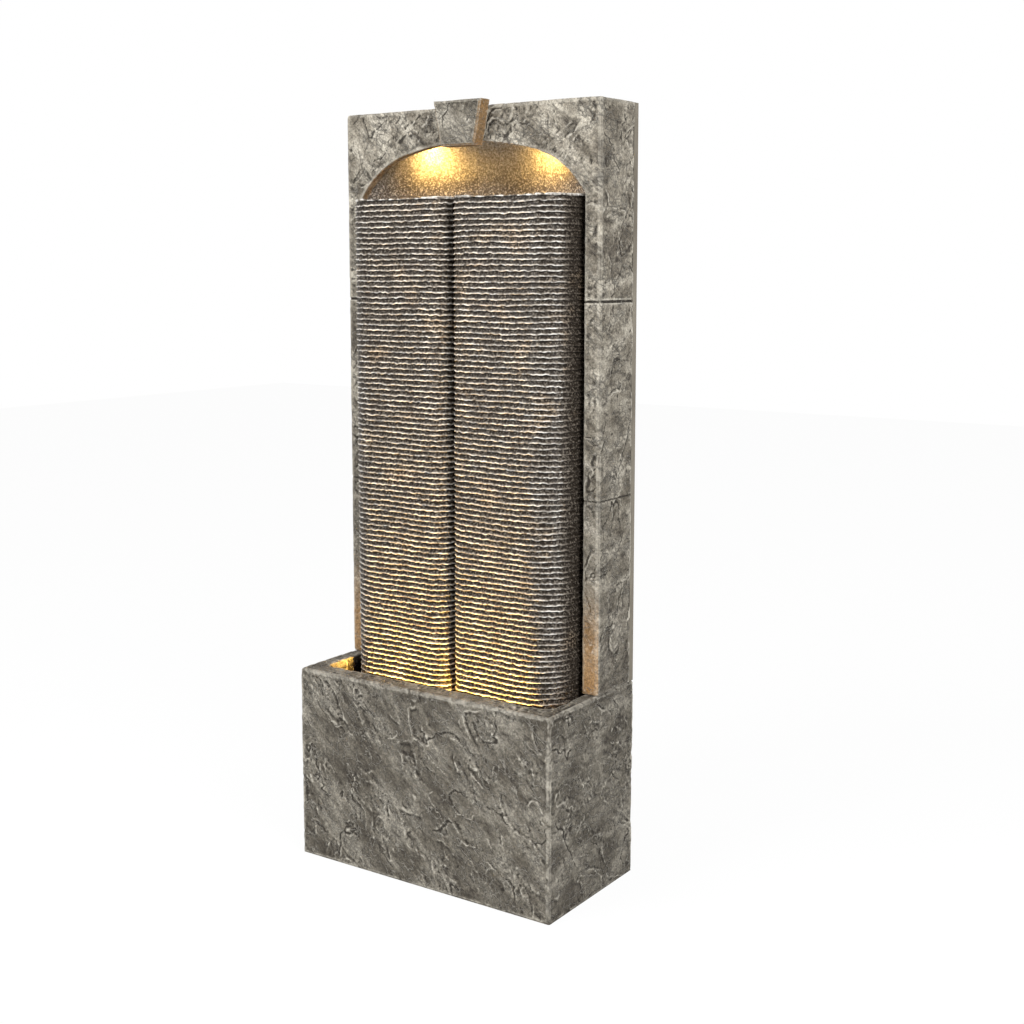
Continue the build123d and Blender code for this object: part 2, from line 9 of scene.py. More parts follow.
import bmesh
import bpy
import numpy as np
from bpy.props import FloatProperty, FloatVectorProperty, IntProperty, PointerProperty
from mathutils import Matrix, Vector

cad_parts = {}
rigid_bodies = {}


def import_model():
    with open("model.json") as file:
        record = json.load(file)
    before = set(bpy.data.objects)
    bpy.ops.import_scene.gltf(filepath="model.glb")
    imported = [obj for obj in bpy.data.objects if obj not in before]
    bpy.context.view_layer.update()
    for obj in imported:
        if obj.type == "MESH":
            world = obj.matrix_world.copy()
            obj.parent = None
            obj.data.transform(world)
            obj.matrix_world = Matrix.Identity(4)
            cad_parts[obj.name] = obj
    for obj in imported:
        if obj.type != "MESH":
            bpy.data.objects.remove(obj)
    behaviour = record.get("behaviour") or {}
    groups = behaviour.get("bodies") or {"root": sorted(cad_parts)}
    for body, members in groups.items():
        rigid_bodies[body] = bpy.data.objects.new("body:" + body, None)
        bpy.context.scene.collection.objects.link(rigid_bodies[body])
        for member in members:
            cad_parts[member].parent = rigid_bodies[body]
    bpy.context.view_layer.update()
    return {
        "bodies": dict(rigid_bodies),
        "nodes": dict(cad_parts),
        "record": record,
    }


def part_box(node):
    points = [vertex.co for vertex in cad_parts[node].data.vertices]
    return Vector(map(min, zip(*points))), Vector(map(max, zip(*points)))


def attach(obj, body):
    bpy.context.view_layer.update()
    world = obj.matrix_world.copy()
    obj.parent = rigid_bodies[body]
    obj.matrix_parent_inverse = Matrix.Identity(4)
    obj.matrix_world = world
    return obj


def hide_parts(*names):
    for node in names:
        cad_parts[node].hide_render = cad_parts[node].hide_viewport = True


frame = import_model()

bl_info = {
    "name": "Water wall fountain",
    "version": (1, 0, 0),
    "blender": (4, 5, 0),
    "location": "View3D > Sidebar > Fountain",
    "description": "Casts, ledges, lamps and finishes of a water wall fountain over its frame",
    "category": "Object",
}

NODES = frame["nodes"]
BODY_OF = {node: body for body, nodes in frame["record"]["behaviour"]["bodies"].items() for node in nodes}
MM = 0.001


def linear(code):
    """Linear RGBA of an sRGB hex colour."""
    shares = [int(code[at : at + 2], 16) / 255 for at in (0, 2, 4)]
    return tuple(s / 12.92 if s <= 0.04045 else ((s + 0.055) / 1.055) ** 2.4 for s in shares) + (1.0,)


def length(name, description, millimetres):
    """A length property with its default in millimetres."""
    return FloatProperty(name=name, description=description, default=millimetres * MM, min=0.0, unit="LENGTH")


def colour(name, description, code):
    """A colour property with an sRGB hex default."""
    return FloatVectorProperty(
        name=name, description=description, default=linear(code), size=4, min=0.0, max=1.0, subtype="COLOR"
    )


def whole(name, description, number):
    """A whole number property."""
    return IntProperty(name=name, description=description, default=number, min=1)


def power(name, description, watts):
    """A lamp's power property, in watts."""
    return FloatProperty(name=name, description=description, default=watts, min=0.0, unit="POWER")


class FountainSizes(bpy.types.PropertyGroup):
    """Sizes of the cast surfaces and of the ledges."""

    stone_grid: length("Stone grid", "Spacing of the points on the cast stone faces", 1.5)
    fine_grid: length("Fine grid", "Spacing of the points on the small castings", 1.2)
    slate_depth: length("Slate depth", "Half the depth of the slate relief", 1.7)
    edge_wear: length("Edge wear", "How far the back panel's edges are rubbed down", 1.0)
    score_width: length("Score width", "Width of the joints scored across the tower", 2.0)
    score_depth: length("Score depth", "How much deeper the scored joints are pressed in", 0.7)
    ledge_pitch: length("Ledge pitch", "Height from one ledge to the next", 7.0)
    ledge_depth: length("Ledge depth", "How far a ledge's lip stands out", 2.6)
    ledge_wave: length("Ledge wave", "How far a ledge's lip wanders up and down", 1.1)
    outer_corner: length("Outer corner", "Radius of a column's outer front corner", 45.0)
    inner_corner: length("Inner corner", "Radius of a column's inner front corner", 26.0)
    column_wall: length("Column wall", "Thickness of a column's wall behind its ledges", 5.0)
    inner_wall_back: length("Inner wall back", "Where a column's inner wall ends, behind the middle", 20.0)
    return_width: length("Return width", "Width of the notches that let the water back", 34.0)
    return_height: length("Return height", "Height of the notches that let the water back", 26.0)
    return_spacing: length("Return spacing", "Spacing of a column's two notches", 44.0)
    path_step: length("Path step", "Spacing of the points along a ledge where it shows", 1.3)
    hidden_step: length("Hidden step", "Spacing of the points along a ledge where it is hidden", 5.0)
    courses: whole("Courses", "Courses that the tower is scored into", 3)
    ledge_count: whole("Ledges", "Ledges on each column", 91)


class FountainColours(bpy.types.PropertyGroup):
    """Colours of the castings and the small pieces."""

    slate: colour("Slate", "Main colour of the slate castings", "8a8376")
    slate_dark: colour("Slate dark", "Darker washes on the slate castings", "635c51")
    slate_pale: colour("Slate pale", "Paler washes on the slate castings", "b0a99b")
    slate_deep: colour("Slate deep", "Brown wash that lies in the hollows", "4d443d")
    ochre: colour("Ochre", "Ochre wash on the keystone's flanks", "a88458")
    # Painted warm glow of the lamps on the jambs above the pool
    jamb_glow_ochre: colour("Jamb ochre", "Ochre wash on the jambs above the pool", "cc9c62")
    # Painted shade on the pool's inner walls
    pool_shade_brown: colour("Pool brown", "Brown wash on the pool's inner walls", "20160e")
    smudge: colour("Smudge", "Dark wash that pooled in patches", "2e2924")
    # Crevice colour: a dark wash in the cracks, and also the painted shadow beside the fine crinkles
    crevice_and_shadow: colour("Crevice", "Dark wash left in the cracks", "25211c")
    rubbed: colour("Rubbed", "Light paint rubbed over crests and edges", "cbc5b8")
    ledge: colour("Ledge", "Main colour of the ledges", "746c62")
    ledge_dark: colour("Ledge dark", "Dark wash between the ledges", "201a14")
    ledge_tan: colour("Ledge tan", "Tan patches on the ledges", "a4917a")
    lip: colour("Lip", "Light paint rubbed over the lips of the ledges", "ebe7e0")
    dome: colour("Dome", "Main colour of the dome's grain", "a39a8c")
    dome_dark: colour("Dome dark", "Dark grain of the dome", "746859")
    dome_pale: colour("Dome pale", "Pale grain of the dome", "dcd2c6")
    # Painted shade along the foot of the dome
    dome_foot_shade: colour("Dome foot", "Dull wash along the foot of the dome", "4a3f38")


class FountainLamps(bpy.types.PropertyGroup):
    """Colour and power of the four warm lamps."""

    warm: colour("Warm", "Colour of the light from the pool", "ffc95e")
    pale: colour("Pale", "Colour of the light behind the arch", "ffd27c")
    basin_watts: power("Basin lamps", "Power of each lamp in the pool", 62.0)
    arch_watts: power("Arch lamps", "Power of each lamp behind the arch", 0.7)


RANDOM = np.random.default_rng(7)
GRADIENTS = RANDOM.normal(size=(256, 3))
GRADIENTS /= np.linalg.norm(GRADIENTS, axis=1)[:, None]


def wander(points, size, seed):
    """Smooth noise, about -1 to 1, at points in mm, with swells of that size in mm."""
    cell = points / size + seed * np.array((7.31, 3.77, 5.19))
    base = np.floor(cell).astype(np.int64)
    part = cell - base
    fade = part**3 * (part * (part * 6 - 15) + 10)
    total = np.zeros(len(points))
    for corner in np.ndindex(2, 2, 2):
        spot = (base + corner) * np.array((73856093, 19349663, 83492791))
        mixed = spot[:, 0] ^ spot[:, 1] ^ spot[:, 2] ^ (seed * 2654435761)
        mixed = (mixed ^ (mixed >> 15)) * 2246822519
        gradient = GRADIENTS[(mixed >> 13) & 255]
        weight = np.prod(np.where(corner, fade, 1 - fade), axis=1)
        total += weight * np.einsum("ij,ij->i", part - corner, gradient)
    return 1.7 * total


def ease(value, low, high):
    """0 below low, 1 above high, and smooth between."""
    share = np.clip((value - low) / (high - low), 0, 1)
    return share * share * (3 - 2 * share)


def drift(points, size, seed):
    """Three noises side by side, to bend the points of another pattern."""
    return np.stack([wander(points, size, seed + axis) for axis in range(3)], axis=1)


def slate_relief(points, rise, spread, crinkle, seed):
    """Height in mm of a slate-like casting: flakes with raised lips, veins, cracks and grit.

    The flakes lie across the rise. A spread of 1 gives them as long as they are wide, and less makes
    them longer.
    """
    bent = points + 7.0 * drift(points, 34.0, seed) + 1.6 * drift(points, 7.0, seed + 3)
    slant = np.outer(bent @ rise, rise) * (1 - spread) + bent * spread
    patch = 0.3 + ease(wander(points, 55.0, seed + 6) + crinkle, -0.2, 0.4)
    height = 0.4 * wander(points, 110.0, seed + 7)
    flakes = ((38.0, 0.8), (21.0, 0.6), (11.0, 0.45 * patch), (5.5, 0.25 * patch))
    for place, (size, step) in enumerate(flakes):
        layer = seed + 8 + 2 * place
        field = wander(slant, size, layer + 1)
        crisp = ease(wander(points, 1.5 * size, layer), -0.1, 0.3)
        soft = 0.6 - 0.54 * crisp
        lip = np.exp(-(((0.7 * size * field - 0.8) / 1.0) ** 2)) * crisp * (size > 20.0)
        height = height + step * (ease(field, -soft, soft) - 0.5 + 0.42 * lip)
    veins_and_cracks = ((30.0, 0.05, 0.6, 16), (42.0, 0.03, -1.3, 19))
    for size, width, step, layer in veins_and_cracks:
        line = np.abs(wander(slant, size, seed + layer) + 0.12 * wander(bent, size / 3, seed + layer + 1))
        where = ease(wander(points, 1.4 * size, seed + layer + 2), 0.0, 0.25)
        height = height + step * np.clip(1 - line / width, 0, 1) * where
    return height + (0.1 + 0.15 * patch) * wander(points, 3.2, seed + 22)


def mesh_points(mesh):
    """Places and normals of a mesh's vertices."""
    places = np.empty(len(mesh.vertices) * 3)
    mesh.vertices.foreach_get("co", places)
    normals = np.empty(len(mesh.vertices) * 3)
    mesh.vertex_normals.foreach_get("vector", normals)
    return places.reshape(-1, 3), normals.reshape(-1, 3)


def place_points(mesh, places):
    """Move a mesh's vertices."""
    mesh.vertices.foreach_set("co", places.ravel())
    mesh.update()


def dense_copy(node, name, grid):
    """A copy of a node's shape with an even, dense grid of points."""
    rough = bpy.data.objects.new("rough", NODES[node].data.copy())
    bpy.context.scene.collection.objects.link(rough)
    remesh = rough.modifiers.new("grid", "REMESH")
    remesh.mode = "VOXEL"
    remesh.voxel_size = grid
    depsgraph = bpy.context.evaluated_depsgraph_get()
    mesh = bpy.data.meshes.new_from_object(rough.evaluated_get(depsgraph))
    bpy.data.objects.remove(rough)
    if not len(mesh.vertices):
        raise RuntimeError(f"{name}: the dense grid came out empty")
    mesh.materials.clear()
    mesh.name = name
    return mesh


def press(mesh, node, heights):
    """Move a mesh in along its normals by heights in mm, inside the node's own box."""
    places, normals = mesh_points(mesh)
    low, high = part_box(node)
    places = np.clip(places + normals * heights[:, None] * MM, low, high)
    place_points(mesh, places)


def even(values, first, second, neighbours):
    """Values averaged over each vertex's neighbours."""
    total = np.bincount(first, values[second], len(values)) + np.bincount(second, values[first], len(values))
    return total / neighbours


def stand_out(mesh, rounds):
    """How far each vertex stands over its smoothed surroundings, in mm."""
    ends = np.empty(len(mesh.edges) * 2, dtype=np.int32)
    mesh.edges.foreach_get("vertices", ends)
    first, second = ends.reshape(-1, 2).T
    places, normals = mesh_points(mesh)
    neighbours = np.maximum(np.bincount(ends, minlength=len(places)), 1)
    smooth = places.copy()
    for _ in range(rounds):
        smooth = np.stack([even(smooth[:, axis], first, second, neighbours) for axis in range(3)], axis=1)
    return np.einsum("ij,ij->i", places - smooth, normals) / MM


def mark_crests(mesh, name, reach, rounds, most=1.0):
    """Keep 0 in a crack to 1 on a crest, or to the most given.

    Reach is the height in mm from the middle to either end.
    """
    write_mark(mesh, name, np.clip(0.5 + stand_out(mesh, rounds) / (2 * reach), 0, most))


def write_mark(mesh, name, values):
    """Keep one number per vertex for the finish."""
    mark = mesh.attributes.new(name, "FLOAT", "POINT")
    mark.data.foreach_set("value", values.astype(np.float32))


def settle(mesh, node, finish):
    """Show a finished mesh in place of its node, riding on the node's body."""
    mesh.materials.append(finish)
    mesh.shade_smooth()
    piece = bpy.data.objects.new(mesh.name, mesh)
    bpy.context.scene.collection.objects.link(piece)
    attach(piece, BODY_OF[node])
    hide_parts(node)
    return piece


def coat(finish, *nodes):
    """Give carried-over nodes a finish."""
    for node in nodes:
        NODES[node].data.materials.clear()
        NODES[node].data.materials.append(finish)


def add(tree, kind, inputs=None, ramp=None, **settings):
    """Add a node with its settings; an input that is given a socket is linked, and any other is set."""
    node = tree.nodes.new(kind)
    for key, value in settings.items():
        setattr(node, key, value)
    for key, value in (inputs or {}).items():
        if isinstance(value, bpy.types.NodeSocket):
            tree.links.new(value, node.inputs[key])
        else:
            node.inputs[key].default_value = value
    if ramp:
        stops = node.color_ramp.elements
        while len(stops) < len(ramp):
            stops.new(0.5)
        for stop, (place, shade) in zip(stops, ramp):
            stop.position = place
            stop.color = shade
    return node


def grey(value):
    """A grey of one linear value."""
    return (value, value, value, 1.0)


def per(millimetres):
    """Pattern scale that gives marks of that size in mm."""
    return 1.0 / (millimetres * MM)


def blank(name):
    """A material with an empty node tree, and the object's own coordinates."""
    material = bpy.data.materials.new(name)
    material.use_nodes = True
    tree = material.node_tree
    tree.nodes.clear()
    return material, tree, add(tree, "ShaderNodeTexCoord").outputs["Object"]


def fine_crinkles(tree, where, streak, size, cover):
    """Masks of thin raised crinkles of the slate mould and of the painted shadow beside them, in broken
    patches.

    Size is the spacing of the crinkles in mm, and cover is how far the patches spread, from 0 to about 0.2.
    """
    swirl = add(
        tree, "ShaderNodeTexNoise", {"Vector": where, "Scale": per(16), "Detail": 3.0, "Roughness": 0.6}
    )
    bent = add(
        tree,
        "ShaderNodeVectorMath",
        {0: swirl.outputs["Color"], 1: (14.0 * MM, 14.0 * MM, 14.0 * MM), 2: streak},
        operation="MULTIPLY_ADD",
    )
    cells = add(
        tree,
        "ShaderNodeTexVoronoi",
        {"Vector": bent.outputs[0], "Scale": per(size)},
        feature="DISTANCE_TO_EDGE",
    )
    breaks = add(
        tree, "ShaderNodeTexNoise", {"Vector": where, "Scale": per(24), "Detail": 3.0, "Roughness": 0.6}
    )
    patch = add(
        tree,
        "ShaderNodeMapRange",
        {"Value": breaks.outputs["Fac"], "From Min": 0.5 - cover, "From Max": 0.6 - cover},
    ).outputs[0]
    near = cells.outputs["Distance"]
    ridge = add(tree, "ShaderNodeMapRange", {"Value": near, "From Max": 0.06, "To Min": 0.8, "To Max": 0.0})
    # Painted shadow: a dark band beside each crinkle
    shadow = add(
        tree, "ShaderNodeMapRange", {"Value": near, "From Min": 0.13, "From Max": 0.06, "To Max": 0.5}
    )
    return [
        add(tree, "ShaderNodeMath", {0: mask.outputs[0], 1: patch}, operation="MULTIPLY").outputs[0]
        for mask in (ridge, shadow)
    ]


def dry_brushed_slate_resin(name, colours, shade, shade_at_ground, tint, crinkle, cover):
    """Polyester resin cast in a slate mould, washed dark and dry-brushed light.

    Matte grey-brown with cloudy washes, dark in its cracks and hollows, pale where the brush caught crests,
    and with painted shadow beside its fine crinkles. Shade is how light its washes are, and shade at ground
    is the part of that left near the ground, a painted shade that darkens it towards the bottom. Tint is the
    colour of the stain and light mark: a brown painted shade in the pool, an ochre painted glow on the jambs
    and a real ochre stain on the keystone's flanks. Crinkle and cover are the spacing in mm and the spread
    of its fine crinkles.
    """
    material, tree, where = blank(name)
    crest = add(tree, "ShaderNodeAttribute", attribute_name="crest").outputs["Fac"]
    relief = add(tree, "ShaderNodeAttribute", attribute_name="relief").outputs["Fac"]
    streak = add(
        tree,
        "ShaderNodeMapping",
        {"Vector": where, "Rotation": (0.0, radians(42), 0.0), "Scale": (1.0, 1.0, 0.45)},
        vector_type="TEXTURE",
    )
    cloud = add(
        tree,
        "ShaderNodeTexNoise",
        {"Vector": streak.outputs[0], "Scale": per(60), "Detail": 7.0, "Roughness": 0.68},
    )
    washes = add(
        tree,
        "ShaderNodeValToRGB",
        {"Fac": cloud.outputs["Fac"]},
        ramp=((0.38, colours.slate_dark), (0.5, colours.slate), (0.62, colours.slate_pale)),
    )
    mottle = add(
        tree, "ShaderNodeTexNoise", {"Vector": where, "Scale": per(5), "Detail": 6.0, "Roughness": 0.75}
    )
    tone = add(
        tree,
        "ShaderNodeMapRange",
        {
            "Value": mottle.outputs["Fac"],
            "From Min": 0.36,
            "From Max": 0.64,
            "To Min": 0.68 * shade,
            "To Max": 1.28 * shade,
        },
    )
    grit = add(
        tree, "ShaderNodeTexNoise", {"Vector": where, "Scale": per(2.2), "Detail": 3.0, "Roughness": 0.6}
    )
    specks = add(
        tree,
        "ShaderNodeMapRange",
        {"Value": grit.outputs["Fac"], "From Min": 0.3, "From Max": 0.7, "To Min": 0.55, "To Max": 1.45},
    )
    # Painted shade: the washes darken towards the ground, from 0.8 m down to 0.25 m
    height = add(tree, "ShaderNodeSeparateXYZ", {0: where}).outputs[2]
    painted_low_shade = add(
        tree,
        "ShaderNodeMapRange",
        {"Value": height, "From Min": 0.25, "From Max": 0.8, "To Min": shade_at_ground, "To Max": 1.0},
    )
    tone_with_low_shade = add(tree, "ShaderNodeMath", {0: tone.outputs[0], 1: painted_low_shade.outputs[0]}, operation="MULTIPLY")
    grainy = add(tree, "ShaderNodeMath", {0: tone_with_low_shade.outputs[0], 1: specks.outputs[0]}, operation="MULTIPLY")
    body = add(
        tree,
        "ShaderNodeMix",
        {0: 1.0, 6: washes.outputs["Color"], 7: grainy.outputs[0]},
        data_type="RGBA",
        blend_type="MULTIPLY",
    )
    low = add(
        tree, "ShaderNodeMapRange", {"Value": relief, "From Min": 0.45, "From Max": 0.05, "To Max": 0.45}
    )
    sunk = add(
        tree,
        "ShaderNodeMix",
        {0: low.outputs[0], 6: body.outputs[2], 7: colours.slate_deep},
        data_type="RGBA",
    )
    deep = add(
        tree, "ShaderNodeMapRange", {"Value": crest, "From Min": 0.46, "From Max": 0.2, "To Max": 0.9}
    )
    washed = add(
        tree,
        "ShaderNodeMix",
        {0: deep.outputs[0], 6: sunk.outputs[2], 7: colours.crevice_and_shadow},
        data_type="RGBA",
    )
    pooled = add(
        tree,
        "ShaderNodeTexNoise",
        {"Vector": streak.outputs[0], "Scale": per(20), "Detail": 6.0, "Roughness": 0.68},
    )
    smudge = add(
        tree,
        "ShaderNodeMapRange",
        {"Value": pooled.outputs["Fac"], "From Min": 0.52, "From Max": 0.66, "To Max": 0.85},
    )
    smudged = add(
        tree,
        "ShaderNodeMix",
        {0: smudge.outputs[0], 6: washed.outputs[2], 7: colours.smudge},
        data_type="RGBA",
    )
    catch = add(
        tree, "ShaderNodeMapRange", {"Value": crest, "From Min": 0.64, "From Max": 0.94, "To Max": 0.7}
    )
    brush = add(
        tree, "ShaderNodeTexNoise", {"Vector": where, "Scale": per(14), "Detail": 4.0, "Roughness": 0.65}
    )
    stroke = add(
        tree,
        "ShaderNodeMapRange",
        {"Value": brush.outputs["Fac"], "From Min": 0.36, "From Max": 0.58, "To Min": 0.3},
    )
    rub = add(tree, "ShaderNodeMath", {0: catch.outputs[0], 1: stroke.outputs[0]}, operation="MULTIPLY")
    ridge, shadow = fine_crinkles(tree, where, streak.outputs[0], crinkle, cover)
    # Painted shadow beside the fine crinkles, in the crevice colour
    shaded = add(
        tree, "ShaderNodeMix", {0: shadow, 6: smudged.outputs[2], 7: colours.crevice_and_shadow}, data_type="RGBA"
    )
    stain_and_light = add(tree, "ShaderNodeAttribute", attribute_name="stain_and_light").outputs["Fac"]
    toned = add(
        tree,
        "ShaderNodeMix",
        {0: 1.0, 6: tint, 7: grainy.outputs[0]},
        data_type="RGBA",
        blend_type="MULTIPLY",
    )
    tinted = add(
        tree, "ShaderNodeMix", {0: stain_and_light, 6: shaded.outputs[2], 7: toned.outputs[2]}, data_type="RGBA"
    )
    thin = add(tree, "ShaderNodeMath", {0: ridge, 1: 0.5}, operation="MULTIPLY")
    pale = add(tree, "ShaderNodeMath", {0: rub.outputs[0], 1: thin.outputs[0]}, operation="MAXIMUM")
    painted = add(
        tree,
        "ShaderNodeMix",
        {0: pale.outputs[0], 6: tinted.outputs[2], 7: colours.rubbed},
        data_type="RGBA",
    )
    rough = add(
        tree, "ShaderNodeMapRange", {"Value": mottle.outputs["Fac"], "To Min": 0.65, "To Max": 0.95}
    )
    raised = add(
        tree, "ShaderNodeMath", {0: ridge, 1: 2.2, 2: grit.outputs["Fac"]}, operation="MULTIPLY_ADD"
    )
    bump = add(tree, "ShaderNodeBump", {"Height": raised.outputs[0], "Strength": 0.8, "Distance": 1.0 * MM})
    shader = add(
        tree,
        "ShaderNodeBsdfPrincipled",
        {
            "Base Color": painted.outputs[2],
            "Roughness": rough.outputs[0],
            "Normal": bump.outputs[0],
            "IOR": 1.5,
            "Specular IOR Level": 0.25,
        },
    )
    add(tree, "ShaderNodeOutputMaterial", {"Surface": shader.outputs[0]})
    return material


def wet_ledge_resin(name, colours):
    """Polyester resin cast in stacked ledges, washed dark, rubbed pale on its lips, with a film of water.

    Dark between the lips, pale broken lines on them, tan patches, and small sharp glints from the film.
    """
    material, tree, where = blank(name)
    rub = add(tree, "ShaderNodeAttribute", attribute_name="rub").outputs["Fac"]
    cloud = add(
        tree, "ShaderNodeTexNoise", {"Vector": where, "Scale": per(45), "Detail": 5.0, "Roughness": 0.6}
    )
    patches = add(
        tree,
        "ShaderNodeValToRGB",
        {"Fac": cloud.outputs["Fac"]},
        ramp=((0.4, colours.ledge), (0.56, colours.ledge), (0.7, colours.ledge_tan)),
    )
    speck = add(
        tree, "ShaderNodeTexNoise", {"Vector": where, "Scale": per(3), "Detail": 4.0, "Roughness": 0.7}
    )
    tone = add(
        tree,
        "ShaderNodeValToRGB",
        {"Fac": speck.outputs["Fac"]},
        ramp=((0.36, grey(0.35)), (0.64, grey(1.6))),
    )
    body = add(
        tree,
        "ShaderNodeMix",
        {0: 1.0, 6: patches.outputs["Color"], 7: tone.outputs["Color"]},
        data_type="RGBA",
        blend_type="MULTIPLY",
    )
    deep = add(tree, "ShaderNodeMapRange", {"Value": rub, "From Min": 0.4, "From Max": 0.05})
    crumbs = add(
        tree,
        "ShaderNodeMapRange",
        {"Value": speck.outputs["Fac"], "From Min": 0.5, "From Max": 0.64, "To Min": 1.0, "To Max": 0.4},
    )
    soaked = add(tree, "ShaderNodeMath", {0: deep.outputs[0], 1: crumbs.outputs[0]}, operation="MULTIPLY")
    washed = add(
        tree,
        "ShaderNodeMix",
        {0: soaked.outputs[0], 6: body.outputs[2], 7: colours.ledge_dark},
        data_type="RGBA",
    )
    catch = add(tree, "ShaderNodeMapRange", {"Value": rub, "From Min": 0.55, "From Max": 0.92})
    brush = add(
        tree, "ShaderNodeTexNoise", {"Vector": where, "Scale": per(22), "Detail": 5.0, "Roughness": 0.7}
    )
    stroke = add(
        tree,
        "ShaderNodeMapRange",
        {"Value": brush.outputs["Fac"], "From Min": 0.36, "From Max": 0.58, "To Min": 0.3},
    )
    caught = add(tree, "ShaderNodeMath", {0: catch.outputs[0], 1: stroke.outputs[0]}, operation="MULTIPLY")
    painted = add(
        tree,
        "ShaderNodeMix",
        {0: caught.outputs[0], 6: washed.outputs[2], 7: colours.lip},
        data_type="RGBA",
    )
    rough = add(tree, "ShaderNodeMapRange", {"Value": speck.outputs["Fac"], "To Min": 0.4, "To Max": 0.8})
    drops = add(tree, "ShaderNodeTexNoise", {"Vector": where, "Scale": per(3), "Detail": 2.0})
    bump = add(
        tree, "ShaderNodeBump", {"Height": drops.outputs["Fac"], "Strength": 0.5, "Distance": 0.6 * MM}
    )
    shader = add(
        tree,
        "ShaderNodeBsdfPrincipled",
        {
            "Base Color": painted.outputs[2],
            "Roughness": rough.outputs[0],
            "Normal": bump.outputs[0],
            "IOR": 1.5,
            "Specular IOR Level": 0.1,
            "Coat Weight": 0.1,
            "Coat Roughness": 0.12,
            "Coat IOR": 1.33,
            "Coat Normal": bump.outputs[0],
        },
    )
    add(tree, "ShaderNodeOutputMaterial", {"Surface": shader.outputs[0]})
    return material


def sanded_dome_resin(name, colours):
    """Polyester resin cast with a coarse sanded face.

    Speckled grains of a few millimetres, dark between them and pale on top, and painted shade along its foot.
    """
    material, tree, where = blank(name)
    crest = add(tree, "ShaderNodeAttribute", attribute_name="crest").outputs["Fac"]
    grain = add(
        tree, "ShaderNodeTexNoise", {"Vector": where, "Scale": per(2.2), "Detail": 4.0, "Roughness": 0.7}
    )
    speckle = add(
        tree,
        "ShaderNodeValToRGB",
        {"Fac": grain.outputs["Fac"]},
        ramp=((0.36, colours.dome_dark), (0.5, colours.dome), (0.66, colours.dome_pale)),
    )
    deep = add(
        tree, "ShaderNodeMapRange", {"Value": crest, "From Min": 0.45, "From Max": 0.15, "To Max": 0.7}
    )
    washed = add(
        tree,
        "ShaderNodeMix",
        {0: deep.outputs[0], 6: speckle.outputs["Color"], 7: colours.dome_dark},
        data_type="RGBA",
    )
    stain_and_light = add(tree, "ShaderNodeAttribute", attribute_name="stain_and_light").outputs["Fac"]
    fleck = add(
        tree, "ShaderNodeMapRange", {"Value": grain.outputs["Fac"], "From Min": 0.6, "From Max": 0.5}
    )
    foot_shade_mask = add(tree, "ShaderNodeMath", {0: stain_and_light, 1: fleck.outputs[0]}, operation="MULTIPLY")
    foot_shaded = add(
        tree,
        "ShaderNodeMix",
        {0: foot_shade_mask.outputs[0], 6: washed.outputs[2], 7: colours.dome_foot_shade},
        data_type="RGBA",
    )
    bump = add(
        tree, "ShaderNodeBump", {"Height": grain.outputs["Fac"], "Strength": 0.5, "Distance": 0.5 * MM}
    )
    rough = add(tree, "ShaderNodeMapRange", {"Value": grain.outputs["Fac"], "To Min": 0.45, "To Max": 0.8})
    shader = add(
        tree,
        "ShaderNodeBsdfPrincipled",
        {
            "Base Color": foot_shaded.outputs[2],
            "Roughness": rough.outputs[0],
            "Normal": bump.outputs[0],
            "IOR": 1.5,
        },
    )
    add(tree, "ShaderNodeOutputMaterial", {"Surface": shader.outputs[0]})
    return material


def trowelled_resin(name, colours):
    """Polyester resin trowelled flat on the open back of the mould.

    The same grey-brown as the castings, with faint drag marks and soft clouds.
    """
    material, tree, where = blank(name)
    drag = add(tree, "ShaderNodeMapping", {"Vector": where, "Scale": (1.0, 1.0, 0.25)})
    cloud = add(
        tree,
        "ShaderNodeTexNoise",
        {"Vector": drag.outputs[0], "Scale": per(40), "Detail": 7.0, "Roughness": 0.65},
    )
    washes = add(
        tree,
        "ShaderNodeValToRGB",
        {"Fac": cloud.outputs["Fac"]},
        ramp=((0.35, colours.slate_dark), (0.72, colours.slate)),
    )
    scrape = add(
        tree,
        "ShaderNodeTexNoise",
        {"Vector": drag.outputs[0], "Scale": per(5), "Detail": 4.0, "Roughness": 0.6},
    )
    bump = add(
        tree, "ShaderNodeBump", {"Height": scrape.outputs["Fac"], "Strength": 0.4, "Distance": 0.6 * MM}
    )
    rough = add(tree, "ShaderNodeMapRange", {"Value": scrape.outputs["Fac"], "To Min": 0.6, "To Max": 0.9})
    shader = add(
        tree,
        "ShaderNodeBsdfPrincipled",
        {
            "Base Color": washes.outputs["Color"],
            "Roughness": rough.outputs[0],
            "Normal": bump.outputs[0],
            "IOR": 1.5,
            "Specular IOR Level": 0.35,
        },
    )
    add(tree, "ShaderNodeOutputMaterial", {"Surface": shader.outputs[0]})
    return material


